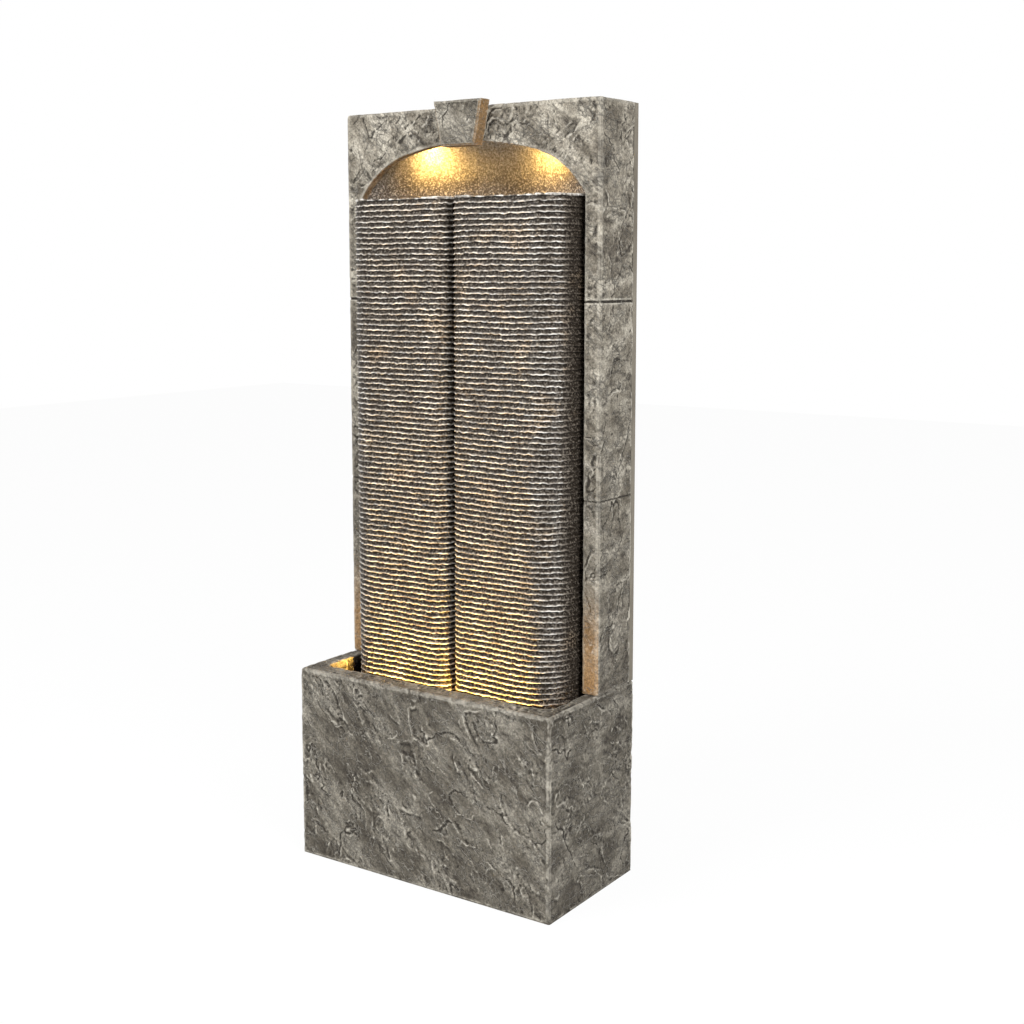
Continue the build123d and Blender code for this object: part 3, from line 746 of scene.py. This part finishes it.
def small_piece_finish(name, dark, pale, marks, rough_low, rough_high, sockets):
    """Finish of a small moulded, ground or turned piece.

    Two close shades in fine marks of the given size in mm, which also vary its gloss and raise a fine bump.
    """
    material, tree, where = blank(name)
    fine = add(
        tree, "ShaderNodeTexNoise", {"Vector": where, "Scale": per(marks), "Detail": 3.0, "Roughness": 0.6}
    )
    shades = add(
        tree,
        "ShaderNodeValToRGB",
        {"Fac": fine.outputs["Fac"]},
        ramp=((0.35, linear(dark)), (0.65, linear(pale))),
    )
    rough = add(
        tree,
        "ShaderNodeMapRange",
        {"Value": fine.outputs["Fac"], "To Min": rough_low, "To Max": rough_high},
    )
    bump = add(
        tree, "ShaderNodeBump", {"Height": fine.outputs["Fac"], "Strength": 0.2, "Distance": 0.1 * MM}
    )
    shader = add(
        tree,
        "ShaderNodeBsdfPrincipled",
        {
            "Base Color": shades.outputs["Color"],
            "Roughness": rough.outputs[0],
            "Normal": bump.outputs[0],
            **sockets,
        },
    )
    add(tree, "ShaderNodeOutputMaterial", {"Surface": shader.outputs[0]})
    return material


# The ways across which the slate flakes lie
BASIN_RISE = np.array((0.70, 0.45, 0.55))
TOWER_RISE = np.array((0.60, 0.62, -0.50))


def slate_piece(node, name, grid, rise, spread, crinkle, stain_and_light, seed, depth, wear, finish, joints=()):
    """A slate casting: the node's shape on a dense grid, with its relief and worn edges pressed in.

    Depth and wear are in mm. Crinkle is a function of the points in mm, and stain and light, which lays real
    stains and painted light, is a function of the points and normals.
    Joints are scored across its upright faces, each with its height, width and depth in mm.
    """
    mesh = dense_copy(node, name, grid)
    places, normals = mesh_points(mesh)
    points = places / MM
    rise = rise / np.linalg.norm(rise)
    heights = slate_relief(points, rise, spread, crinkle(points), seed)
    # The relief is held to its depth and only cuts in
    heights = np.minimum(depth * np.tanh(heights / depth) - 0.55 * depth, 0.0)
    low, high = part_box(node)
    # It fades at the edges, which are chipped in places, and the rear edge stays whole
    edges = np.clip(stand_out(mesh, 12) / 0.5, 0, 1) * (places[:, 1] < high[1] - 4 * MM)
    heights *= 1 - 0.7 * edges
    chips = ease(wander(points, 17.0, seed + 30) + 0.4 * wander(points, 6.0, seed + 31), 0.0, 0.8)
    heights -= wear * edges * chips
    upright = np.abs(normals[:, 2]) < 0.7
    for level, width, sunk in joints:
        heights -= sunk * np.exp(-(((points[:, 2] - level) / (width / 2)) ** 2)) * upright
    foot = (normals[:, 2] < -0.7) & (places[:, 2] < low[2] + 2 * MM)
    heights[foot] = 0.0
    press(mesh, node, heights)
    write_mark(mesh, "relief", np.clip(1 + heights / (1.6 * depth), 0, 1))
    # Stain and light: painted shade in the pool, painted glow on the jambs, and a real ochre stain on the
    # keystone
    write_mark(mesh, "stain_and_light", stain_and_light(points, normals))
    # The brush drew a thin light line along the very edge
    corners = np.clip(stand_out(mesh, 2) / 0.3, 0, 1)
    mark_crests(mesh, "crest", 0.4, 6, 1 - edges * (0.4 - 0.3 * corners))
    return settle(mesh, node, finish)


# The pool's walls and floor, 1 mm into the casting, and the heights between which the painted shade in the
# pool and the painted glow on the jambs fade, all in mm
POOL_SIDE, POOL_FRONT, POOL_REAR, POOL_FLOOR = 181.0, -71.0, 87.0, 17.0
POOL_SHADE_FADE = (244.0, 252.0)
JAMB_GLOW_FADE = (262.0, 420.0)
ARCH_FOOT = 860.0


def pool_painted_shade(points, normals):
    """Painted shade inside the pool: dark brown on the basin's inner walls."""
    x, y, z = points.T
    inner = (np.abs(x) < POOL_SIDE) & (y > POOL_FRONT) & (y < POOL_REAR) & (z > POOL_FLOOR)
    return inner * (1 - ease(z, *POOL_SHADE_FADE))


def jamb_painted_glow(points, normals):
    """Painted warm glow of the lamps: ochre on the front of the jambs, fading upward from the pool, and under
    the arch.
    """
    front = ease(-normals[:, 1], 0.2, 0.7) + ease(-normals[:, 0] * np.sign(points[:, 0]), 0.2, 0.7)
    low = np.clip(front, 0, 1) * (1 - ease(points[:, 2], *JAMB_GLOW_FADE))
    # Painted warm glow under the arch
    soffit = ease(-normals[:, 2], 0.3, 0.7) * (points[:, 2] > ARCH_FOOT)
    return np.maximum(0.7 * low, 0.25 * soffit)


def flank_stain(points, normals):
    """Ochre on the flanks and the foot of the keystone."""
    return 0.8 * ease(np.maximum(np.abs(normals[:, 0]), -normals[:, 2]), 0.45, 0.8)


class FOUNTAIN_OT_castings(bpy.types.Operator):
    """Build the basin, the tower and the keystone with their slate relief"""

    bl_idname = "fountain.castings"
    bl_label = "Slate castings"

    def execute(self, context):
        sizes = context.scene.fountain_sizes
        colours = context.scene.fountain_colours
        depth = sizes.slate_depth / MM
        low, high = (corner.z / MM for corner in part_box("tower_frame"))
        levels = [low + (high - low) * course / sizes.courses for course in range(1, sizes.courses)]
        slate_piece(
            "basin",
            "basin_casting",
            grid=sizes.stone_grid,
            rise=BASIN_RISE,
            spread=0.4,
            crinkle=lambda points: 0.0,
            stain_and_light=pool_painted_shade,
            seed=20,
            depth=depth,
            wear=0.8,
            finish=dry_brushed_slate_resin(
                "dry_brushed_slate_resin_basin",
                colours,
                shade=0.56,
                shade_at_ground=1.0,
                tint=colours.pool_shade_brown,
                crinkle=15.0,
                cover=0.06,
            ),
        )
        slate_piece(
            "tower_frame",
            "tower_casting",
            grid=sizes.stone_grid,
            rise=TOWER_RISE,
            spread=0.55,
            crinkle=lambda points: 0.3 * ease(points[:, 2], 450.0, 950.0) - 0.1,
            stain_and_light=jamb_painted_glow,
            seed=60,
            depth=0.62 * depth,
            wear=0.35,
            finish=dry_brushed_slate_resin(
                "dry_brushed_slate_resin_tower",
                colours,
                # Painted shade towards the ground on the tower
                shade=0.96,
                shade_at_ground=0.69,
                tint=colours.jamb_glow_ochre,
                crinkle=13.0,
                cover=0.03,
            ),
            joints=[(level, sizes.score_width / MM, sizes.score_depth / MM) for level in levels],
        )
        slate_piece(
            "keystone",
            "keystone_casting",
            grid=sizes.fine_grid,
            rise=TOWER_RISE,
            spread=0.6,
            crinkle=lambda points: 0.1,
            stain_and_light=flank_stain,
            seed=90,
            depth=0.8 * depth,
            wear=0.5,
            # A darker copy of the slate finish: painted shade that offsets the key light on the keystone's
            # face, which stands out from the tower
            finish=dry_brushed_slate_resin(
                "dry_brushed_slate_resin_keystone_shaded",
                colours,
                shade=0.68,
                shade_at_ground=1.0,
                tint=colours.ochre,
                crinkle=13.0,
                cover=0.03,
            ),
        )
        return {"FINISHED"}


# Heights in mm between which the painted shade along the dome's foot fades
DOME_SHADE_FADE = (890.0, 930.0)


class FOUNTAIN_OT_dome(bpy.types.Operator):
    """Build the sanded half dome of the niche"""

    bl_idname = "fountain.dome"
    bl_label = "Niche dome"

    def execute(self, context):
        sizes = context.scene.fountain_sizes
        finish = sanded_dome_resin("sanded_dome_resin", context.scene.fountain_colours)
        mesh = dense_copy("niche_dome", "niche_dome_casting", sizes.fine_grid)
        points = mesh_points(mesh)[0] / MM
        grains = 0.5 * wander(points, 4.6, 120) + 0.4 * wander(points, 9.0, 121)
        grains = grains + 0.4 * wander(points, 30.0, 122)
        press(mesh, "niche_dome", np.minimum(grains - 0.6, 0.0))
        # Painted shade along the dome's foot, with a ragged upper edge
        ragged = points[:, 2] - 9.0 * wander(points, 26.0, 123)
        write_mark(mesh, "stain_and_light", 0.85 * (1 - ease(ragged, *DOME_SHADE_FADE)))
        mark_crests(mesh, "crest", 0.35, 4)
        settle(mesh, "niche_dome", finish)
        return {"FINISHED"}


# One ledge from its foot up: share of the pitch, and inset as a share of the ledge's depth
LEDGE_ROWS = (
    (0.00, 1.00),
    (0.05, 0.86),
    (0.11, 0.36),
    (0.17, 0.06),
    (0.25, 0.00),
    (0.34, 0.12),
    (0.52, 0.42),
    (0.72, 0.70),
    (0.90, 0.92),
)


def spaced(start, end, step):
    """Shares from start to end about a step apart, without the end."""
    count = max(int(round(abs(end - start) / step)), 1)
    return [start + (end - start) * at / count for at in range(count)]


def column_path(box, sizes, notches):
    """Plan of a right-hand column's ledge tips: points, outward normals and the run along them, in mm."""
    low, high = Vector(box[0]) / MM, Vector(box[1]) / MM
    outer, inner = sizes.outer_corner / MM, sizes.inner_corner / MM
    shown, hidden = sizes.path_step / MM, sizes.hidden_step / MM
    points, normals = [], []
    for y in spaced(high.y, low.y + outer, hidden):
        points.append((high.x, y))
        normals.append((1.0, 0.0))
    for turn in spaced(0.0, pi / 2, shown / outer):
        points.append((high.x - outer * (1 - np.cos(turn)), low.y + outer * (1 - np.sin(turn))))
        normals.append((np.cos(turn), -np.sin(turn)))
    flat = sorted(set(spaced(high.x - outer, low.x + inner, shown)) | set(notches), reverse=True)
    for x in flat:
        points.append((x, low.y))
        normals.append((0.0, -1.0))
    for turn in spaced(pi / 2, 0.0, shown / inner):
        points.append((low.x + inner * (1 - np.cos(turn)), low.y + inner * (1 - np.sin(turn))))
        normals.append((-np.cos(turn), -np.sin(turn)))
    for y in spaced(low.y + inner, sizes.inner_wall_back / MM, hidden) + [sizes.inner_wall_back / MM]:
        points.append((low.x, y))
        normals.append((-1.0, 0.0))
    points, normals = np.array(points), np.array(normals)
    run = np.concatenate(((0.0,), np.cumsum(np.linalg.norm(np.diff(points, axis=0), axis=1))))
    return points, normals, run


def ledge_surface(run, start, sizes, seed):
    """Heights, insets and rub marks of all ledge rows along a column's run, in mm."""
    pitch, depth, wave = sizes.ledge_pitch / MM, sizes.ledge_depth / MM, sizes.ledge_wave / MM
    count = sizes.ledge_count
    levels = np.arange(count + 1)
    along, level = np.meshgrid(run, levels.astype(float))
    spots = np.stack([along.ravel(), level.ravel() * 31.0, np.full(along.size, 9.0 * seed)], axis=1)
    shape = along.shape
    waves = wander(spots, 6.8, seed) + 0.4 * wander(spots, 3.1, seed + 1)
    slow = np.stack([along.ravel(), level.ravel() * pitch, np.full(along.size, 9.0 * seed)], axis=1)
    waves = (wave * waves + 1.3 * wander(slow, 75.0, seed + 2)).reshape(shape)
    waves[0] = 0.0
    waves[-1] = 0.0
    worn = (0.5 + 0.5 * wander(spots, 14.0, seed + 3) + 0.35 * wander(spots, 4.0, seed + 4)).reshape(shape)
    worn = np.clip(worn, 0.0, 1.0)
    nicks = 0.35 * wander(spots, 2.6, seed + 5).reshape(shape)
    heights, insets, rubs = [], [], []
    for ledge in range(count):
        for share, inset in LEDGE_ROWS:
            follow = ease(np.array(share), 0.34, 1.0)
            heights.append(
                start + (ledge + share) * pitch + waves[ledge] * (1 - follow) + waves[ledge + 1] * follow
            )
            insets.append(depth * (inset + (1 - inset) * 0.32 * worn[ledge]))
            lip = ease(np.array(1 - inset), 0.5, 1.0) * (1.0 if share < 0.3 else 0.8)
            rubs.append(np.clip(lip * (1.1 - 0.5 * worn[ledge] + nicks[ledge]), 0, 1))
    return heights, insets, rubs


def ledge_column(node, name, side, sizes, seed, finish):
    """One column: a shell whose face is stacked wavy ledges, over a plain skirt with two notches."""
    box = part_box(node if side > 0 else node.replace("left", "right"))
    low, high = Vector(box[0]) / MM, Vector(box[1]) / MM
    middle = (low.x + high.x) / 2
    half, spacing = sizes.return_width / MM / 2, sizes.return_spacing / MM / 2
    spans = [(middle + spacing * hand - half, middle + spacing * hand + half) for hand in (-1, 1)]
    points, normals, run = column_path(box, sizes, [x for span in spans for x in span])
    pitch, depth = sizes.ledge_pitch / MM, sizes.ledge_depth / MM
    start = high.z - sizes.ledge_count * pitch
    notch_top = low.z + sizes.return_height / MM
    heights, insets, rubs = ledge_surface(run, start, sizes, seed)
    ones = np.ones_like(run)
    outer_rows = [(low.z * ones, depth * ones, 0.2 * ones), (notch_top * ones, depth * ones, 0.2 * ones)]
    # Painted shade: around the outer corner, which turns away from the light, the ledges darken and lose
    # their pale lips
    corner_shade = 1 - 0.85 * ease(normals[:, 0], 0.8, 0.99)
    outer_rows += [(z, inset, mark * corner_shade) for z, inset, mark in zip(heights, insets, rubs)]
    outer_rows.append((high.z * ones, depth * ones, 0.1 * ones))
    wall = depth + sizes.column_wall / MM
    inner_rows = [(z * ones, wall * ones, 0.1 * ones) for z in (low.z, notch_top, start, high.z)]

    shell = bmesh.new()
    rub = shell.verts.layers.float.new("rub")

    def skin(rows):
        grid = []
        for z, inset, mark in rows:
            row = []
            for at in range(len(run)):
                x, y = points[at] - normals[at] * inset[at]
                vertex = shell.verts.new((side * x * MM, y * MM, z[at] * MM))
                vertex[rub] = mark[at]
                row.append(vertex)
            grid.append(row)
        return grid

    outside, inside = skin(outer_rows), skin(inner_rows)
    steps = range(len(run) - 1)
    open_steps = {
        at
        for at in steps
        if abs(points[at][1] - low.y) < 1e-6
        and abs(points[at + 1][1] - low.y) < 1e-6
        and any(lo < (points[at][0] + points[at + 1][0]) / 2 < hi for lo, hi in spans)
    }

    def face(*corners):
        shell.faces.new(corners if side > 0 else corners[::-1])

    for rows, turned in ((outside, False), (inside, True)):
        for level in range(len(rows) - 1):
            for at in steps:
                if level == 0 and at in open_steps:
                    continue
                corners = (rows[level][at], rows[level + 1][at], rows[level + 1][at + 1], rows[level][at + 1])
                face(*(corners[::-1] if turned else corners))
    for at in steps:
        face(outside[-1][at], inside[-1][at], inside[-1][at + 1], outside[-1][at + 1])
        if at in open_steps:
            face(outside[1][at + 1], inside[1][at + 1], inside[1][at], outside[1][at])
        else:
            face(outside[0][at + 1], inside[0][at + 1], inside[0][at], outside[0][at])
        # The sides of a notch stand where the open steps begin and end
        opens = (at in open_steps) - ((at - 1) in open_steps)
        if opens:
            corners = (outside[0][at], outside[1][at], inside[1][at], inside[0][at])
            face(*(corners[::-1] if opens < 0 else corners))
    for at, turned in ((0, False), (len(run) - 1, True)):
        ring = [row[at] for row in outside] + [row[at] for row in reversed(inside)]
        face(*(ring if turned else ring[::-1]))
    mesh = bpy.data.meshes.new(name)
    shell.to_mesh(mesh)
    shell.free()
    return settle(mesh, node, finish)


class FOUNTAIN_OT_columns(bpy.types.Operator):
    """Build both columns of stacked ledges and the trays that crown them"""

    bl_idname = "fountain.columns"
    bl_label = "Rippled columns"

    def execute(self, context):
        sizes = context.scene.fountain_sizes
        finish = wet_ledge_resin("wet_ledge_resin", context.scene.fountain_colours)
        for side, hand, seed in ((-1, "left", 140), (1, "right", 160)):
            ledge_column(f"{hand}_ripple_column", f"{hand}_column_ledges", side, sizes, seed, finish)
            node = f"{hand}_spill_tray"
            mesh = dense_copy(node, f"{hand}_tray_casting", sizes.fine_grid)
            points = mesh_points(mesh)[0] / MM
            dents = 0.8 * wander(points, 9.0, seed + 6) + 0.35 * wander(points, 4.0, seed + 7)
            press(mesh, node, np.clip(dents - 0.8, -1.8, 0.0))
            mark_crests(mesh, "rub", 0.5, 5)
            settle(mesh, node, finish)
        return {"FINISHED"}


class FOUNTAIN_OT_back(bpy.types.Operator):
    """Finish the back panel, its cover, screws, grommet and drain plug"""

    bl_idname = "fountain.back"
    bl_label = "Back"

    def execute(self, context):
        finish = trowelled_resin("trowelled_resin", context.scene.fountain_colours)
        mesh = NODES["back_panel"].data.copy()
        mesh.name = "back_panel_casting"
        mesh.materials.clear()
        places = mesh_points(mesh)[0]
        # The panel's edges are rubbed down level with the castings around them
        low, high = (np.array(corner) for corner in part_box("back_panel"))
        worn = context.scene.fountain_sizes.edge_wear
        places[:, 0] = np.clip(places[:, 0], low[0] + worn, high[0] - worn)
        places[:, 2] = np.minimum(places[:, 2], high[2] - worn)
        place_points(mesh, places)
        settle(mesh, "back_panel", finish).data.shade_flat()
        # Moulded with a fine spark-eroded texture, which dulls its gloss
        cover = small_piece_finish("moulded_abs_cover", "4d483f", "575247", 1.2, 0.5, 0.7, {"IOR": 1.54})
        coat(cover, "access_cover")
        # Turned stainless steel, bright with a faint grain
        steel = small_piece_finish(
            "turned_stainless_steel", "b9b9b6", "cfcfcb", 0.4, 0.22, 0.4, {"Metallic": 1.0}
        )
        coat(steel, "access_cover_screws")
        # Moulded nitrile rubber, dull black with a slight bloom
        rubber = small_piece_finish(
            "moulded_nitrile_rubber", "1d1d1c", "262624", 2.0, 0.7, 0.9, {"IOR": 1.52}
        )
        coat(
            rubber, "cable_grommet", "drain_plug", "pump_suction_cups", "pump_cord_gland", "pump_shaft_bushes"
        )
        return {"FINISHED"}


class FOUNTAIN_OT_water_line(bpy.types.Operator):
    """Finish the pump, its rotor and the water line"""

    bl_idname = "fountain.water_line"
    bl_label = "Pump and water line"

    def execute(self, context):
        # Moulded ABS with a satin mould face
        housing = small_piece_finish("moulded_black_abs", "131314", "1c1c1d", 1.5, 0.35, 0.55, {"IOR": 1.54})
        coat(housing, "pump_motor_housing", "pump_chamber", "pump_intake_cover")
        # Moulded acetal, a little glossier and greyer
        acetal = small_piece_finish("moulded_acetal", "2a2b2d", "333437", 1.5, 0.25, 0.4, {"IOR": 1.48})
        coat(acetal, "pump_impeller", "pump_flow_slider")
        # Moulded glass-filled nylon with faint flow marks
        nylon = small_piece_finish("moulded_nylon", "202022", "2c2c2e", 2.5, 0.4, 0.6, {"IOR": 1.53})
        coat(nylon, "tee_fitting", "left_outlet_spout", "right_outlet_spout")
        # Extruded clear vinyl, slightly blue and cloudy
        clear = {"IOR": 1.53, "Transmission Weight": 0.85}
        vinyl = small_piece_finish("extruded_clear_vinyl", "c9d6d4", "dde7e5", 20.0, 0.08, 0.18, clear)
        coat(vinyl, "riser_tube", "left_branch_tube", "right_branch_tube")
        # Sintered ferrite, grainy dark grey
        ferrite = small_piece_finish("sintered_ferrite", "35353a", "45454a", 0.8, 0.45, 0.65, {})
        coat(ferrite, "pump_rotor_magnet")
        # Ground alumina, smooth off-white
        alumina = small_piece_finish("ground_alumina", "e2dfd6", "eeebe3", 1.0, 0.2, 0.35, {"IOR": 1.76})
        coat(alumina, "pump_shaft")
        return {"FINISHED"}


# Radius of the soft source behind a lens, how far in front of the lens it stands, and the beams' spreads
LENS_RADIUS = 11.0 * MM
BEAM_GAP = 3.0 * MM
BASIN_SPREAD = radians(160)
ARCH_SPREAD = radians(165)


def warm_light(name, node, out, aim, spread, watts, shade):
    """A warm beam that leaves a lens on its outer side and is thrown along an aim."""
    low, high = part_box(node)
    light = bpy.data.lights.new(name, "SPOT")
    light.energy = watts
    light.color = shade[:3]
    light.spot_size = spread
    light.spot_blend = 1.0
    light.shadow_soft_size = LENS_RADIUS
    beam = bpy.data.objects.new(name, light)
    bpy.context.scene.collection.objects.link(beam)
    reach = (high - low) / 2
    beam.location = (low + high) / 2 + out * (abs(reach.dot(out)) + BEAM_GAP)
    beam.rotation_mode = "QUATERNION"
    beam.rotation_quaternion = aim.to_track_quat("-Z", "Y")
    beam.parent = frame["bodies"][BODY_OF[node]]


class FOUNTAIN_OT_lamps(bpy.types.Operator):
    """Finish the four lamps and light them"""

    bl_idname = "fountain.lamps"
    bl_label = "Lamps"

    def execute(self, context):
        lamps = context.scene.fountain_lamps
        # Potted ABS cups, black and satin
        cup = small_piece_finish("potted_black_abs", "161615", "1f1f1d", 1.8, 0.4, 0.6, {"IOR": 1.54})
        # Moulded opal acrylic, glowing from the light behind it
        opal = small_piece_finish(
            "moulded_opal_acrylic",
            "f2dcae",
            "f8e6c0",
            3.0,
            0.2,
            0.3,
            {"IOR": 1.49, "Emission Color": tuple(lamps.warm), "Emission Strength": 5.0},
        )
        up, back = Vector((0.0, 0.0, 1.0)), Vector((0.0, 0.8, -0.6))
        ledges = Vector((0.0, 0.88, 0.475))
        for hand in ("left", "right"):
            coat(cup, f"basin_lamp_{hand}_housing", f"basin_lamp_{hand}_clip", f"arch_lamp_{hand}_housing")
            coat(opal, f"basin_lamp_{hand}_lens", f"arch_lamp_{hand}_lens")
            lens = f"basin_lamp_{hand}_lens"
            warm_light(f"basin_light_{hand}", lens, up, ledges, BASIN_SPREAD, lamps.basin_watts, lamps.warm)
            lens = f"arch_lamp_{hand}_lens"
            warm_light(f"arch_light_{hand}", lens, back, back, ARCH_SPREAD, lamps.arch_watts, lamps.pale)
        return {"FINISHED"}


def soft_box(name, place, target, size, watts):
    """A square studio light that looks at a target."""
    light = bpy.data.lights.new(name, "AREA")
    light.energy = watts
    light.size = size
    lamp = bpy.data.objects.new(name, light)
    bpy.context.scene.collection.objects.link(lamp)
    lamp.location = place
    lamp.rotation_mode = "QUATERNION"
    lamp.rotation_quaternion = (Vector(target) - Vector(place)).to_track_quat("-Z", "Y")


def seen_as_white(tree, plain, white, share):
    """Mix in plain white for rays from the camera, mirrors and glass."""
    path = add(tree, "ShaderNodeLightPath")
    first = add(
        tree,
        "ShaderNodeMath",
        {0: path.outputs["Is Camera Ray"], 1: path.outputs["Is Glossy Ray"]},
        operation="MAXIMUM",
    )
    rays = add(
        tree,
        "ShaderNodeMath",
        {0: first.outputs[0], 1: path.outputs["Is Transmission Ray"]},
        operation="MAXIMUM",
    )
    part = add(tree, "ShaderNodeMath", {0: rays.outputs[0], 1: share}, operation="MULTIPLY")
    return add(tree, "ShaderNodeMixShader", {0: part.outputs[0], 1: plain.outputs[0], 2: white.outputs[0]})


class FOUNTAIN_OT_stage(bpy.types.Operator):
    """Set the floor, the studio light and the camera"""

    bl_idname = "fountain.stage"
    bl_label = "Stage"

    def execute(self, context):
        scene = context.scene
        scene.view_settings.view_transform = "Standard"

        sheet = bmesh.new()
        bmesh.ops.create_grid(sheet, x_segments=8, y_segments=8, size=6.0)
        ground = bpy.data.meshes.new("studio_floor")
        sheet.to_mesh(ground)
        sheet.free()
        paper, tree, _ = blank("white_backdrop_paper")
        plain = add(tree, "ShaderNodeBsdfDiffuse", {"Color": linear("f4f4f3")})
        white = add(tree, "ShaderNodeEmission", {"Color": grey(1.0), "Strength": 1.0})
        mixed = seen_as_white(tree, plain, white, 0.96)
        add(tree, "ShaderNodeOutputMaterial", {"Surface": mixed.outputs[0]})
        ground.materials.append(paper)
        floor = bpy.data.objects.new("studio_floor", ground)
        scene.collection.objects.link(floor)

        world = bpy.data.worlds.new("studio")
        world.use_nodes = True
        tree = world.node_tree
        tree.nodes.clear()
        ambient = add(tree, "ShaderNodeBackground", {"Color": linear("f2f4f6"), "Strength": 0.45})
        white = add(tree, "ShaderNodeBackground", {"Color": grey(1.0), "Strength": 1.0})
        mixed = seen_as_white(tree, ambient, white, 1.0)
        add(tree, "ShaderNodeOutputWorld", {"Surface": mixed.outputs[0]})
        scene.world = world

        soft_box("key_light", (-0.8, -2.0, 2.6), (0.0, 0.0, 0.8), 1.2, 80.0)
        soft_box("side_light", (2.3, -1.0, 2.2), (0.0, 0.0, 0.75), 1.2, 66.0)

        # Fitted to the corners of the basin and the tower, in pixels of a square picture
        picture, focal, centre_row = 1024, 1445.4, 445.0
        lens = bpy.data.cameras.new("photo_camera")
        lens.sensor_width = 36.0
        lens.lens = focal / picture * lens.sensor_width
        lens.shift_y = (centre_row - picture / 2) / picture
        camera = bpy.data.objects.new("photo_camera", lens)
        scene.collection.objects.link(camera)
        yaw, pitch = 0.6008, 0.1201
        look = Matrix.Rotation(yaw, 3, "Z") @ Matrix.Rotation(pi / 2 - pitch, 3, "X")
        camera.rotation_euler = look.to_euler()
        camera.location = (1.1045, -1.4992, 0.7867)
        scene.camera = camera
        return {"FINISHED"}


class FOUNTAIN_PT_panel(bpy.types.Panel):
    """The fountain's sizes, colours and build steps"""

    bl_idname = "FOUNTAIN_PT_panel"
    bl_label = "Water wall fountain"
    bl_space_type = "VIEW_3D"
    bl_region_type = "UI"
    bl_category = "Fountain"

    def draw(self, context):
        for step in STEPS:
            self.layout.operator(step.bl_idname)
        scene = context.scene
        for group in (scene.fountain_sizes, scene.fountain_colours, scene.fountain_lamps):
            box = self.layout.box()
            for name in group.__annotations__:
                box.prop(group, name)


GROUPS = (FountainSizes, FountainColours, FountainLamps)
STEPS = (
    FOUNTAIN_OT_castings,
    FOUNTAIN_OT_dome,
    FOUNTAIN_OT_columns,
    FOUNTAIN_OT_back,
    FOUNTAIN_OT_water_line,
    FOUNTAIN_OT_lamps,
    FOUNTAIN_OT_stage,
)
CLASSES = (*GROUPS, *STEPS, FOUNTAIN_PT_panel)


def register():
    for item in CLASSES:
        bpy.utils.register_class(item)
    bpy.types.Scene.fountain_sizes = PointerProperty(type=FountainSizes)
    bpy.types.Scene.fountain_colours = PointerProperty(type=FountainColours)
    bpy.types.Scene.fountain_lamps = PointerProperty(type=FountainLamps)


def unregister():
    del bpy.types.Scene.fountain_lamps
    del bpy.types.Scene.fountain_colours
    del bpy.types.Scene.fountain_sizes
    for item in reversed(CLASSES):
        bpy.utils.unregister_class(item)


def main():
    """Register and build each group in order."""
    register()
    bpy.ops.fountain.castings()
    bpy.ops.fountain.dome()
    bpy.ops.fountain.columns()
    bpy.ops.fountain.back()
    bpy.ops.fountain.water_line()
    bpy.ops.fountain.lamps()
    bpy.ops.fountain.stage()


if __name__ == "__main__":
    main()
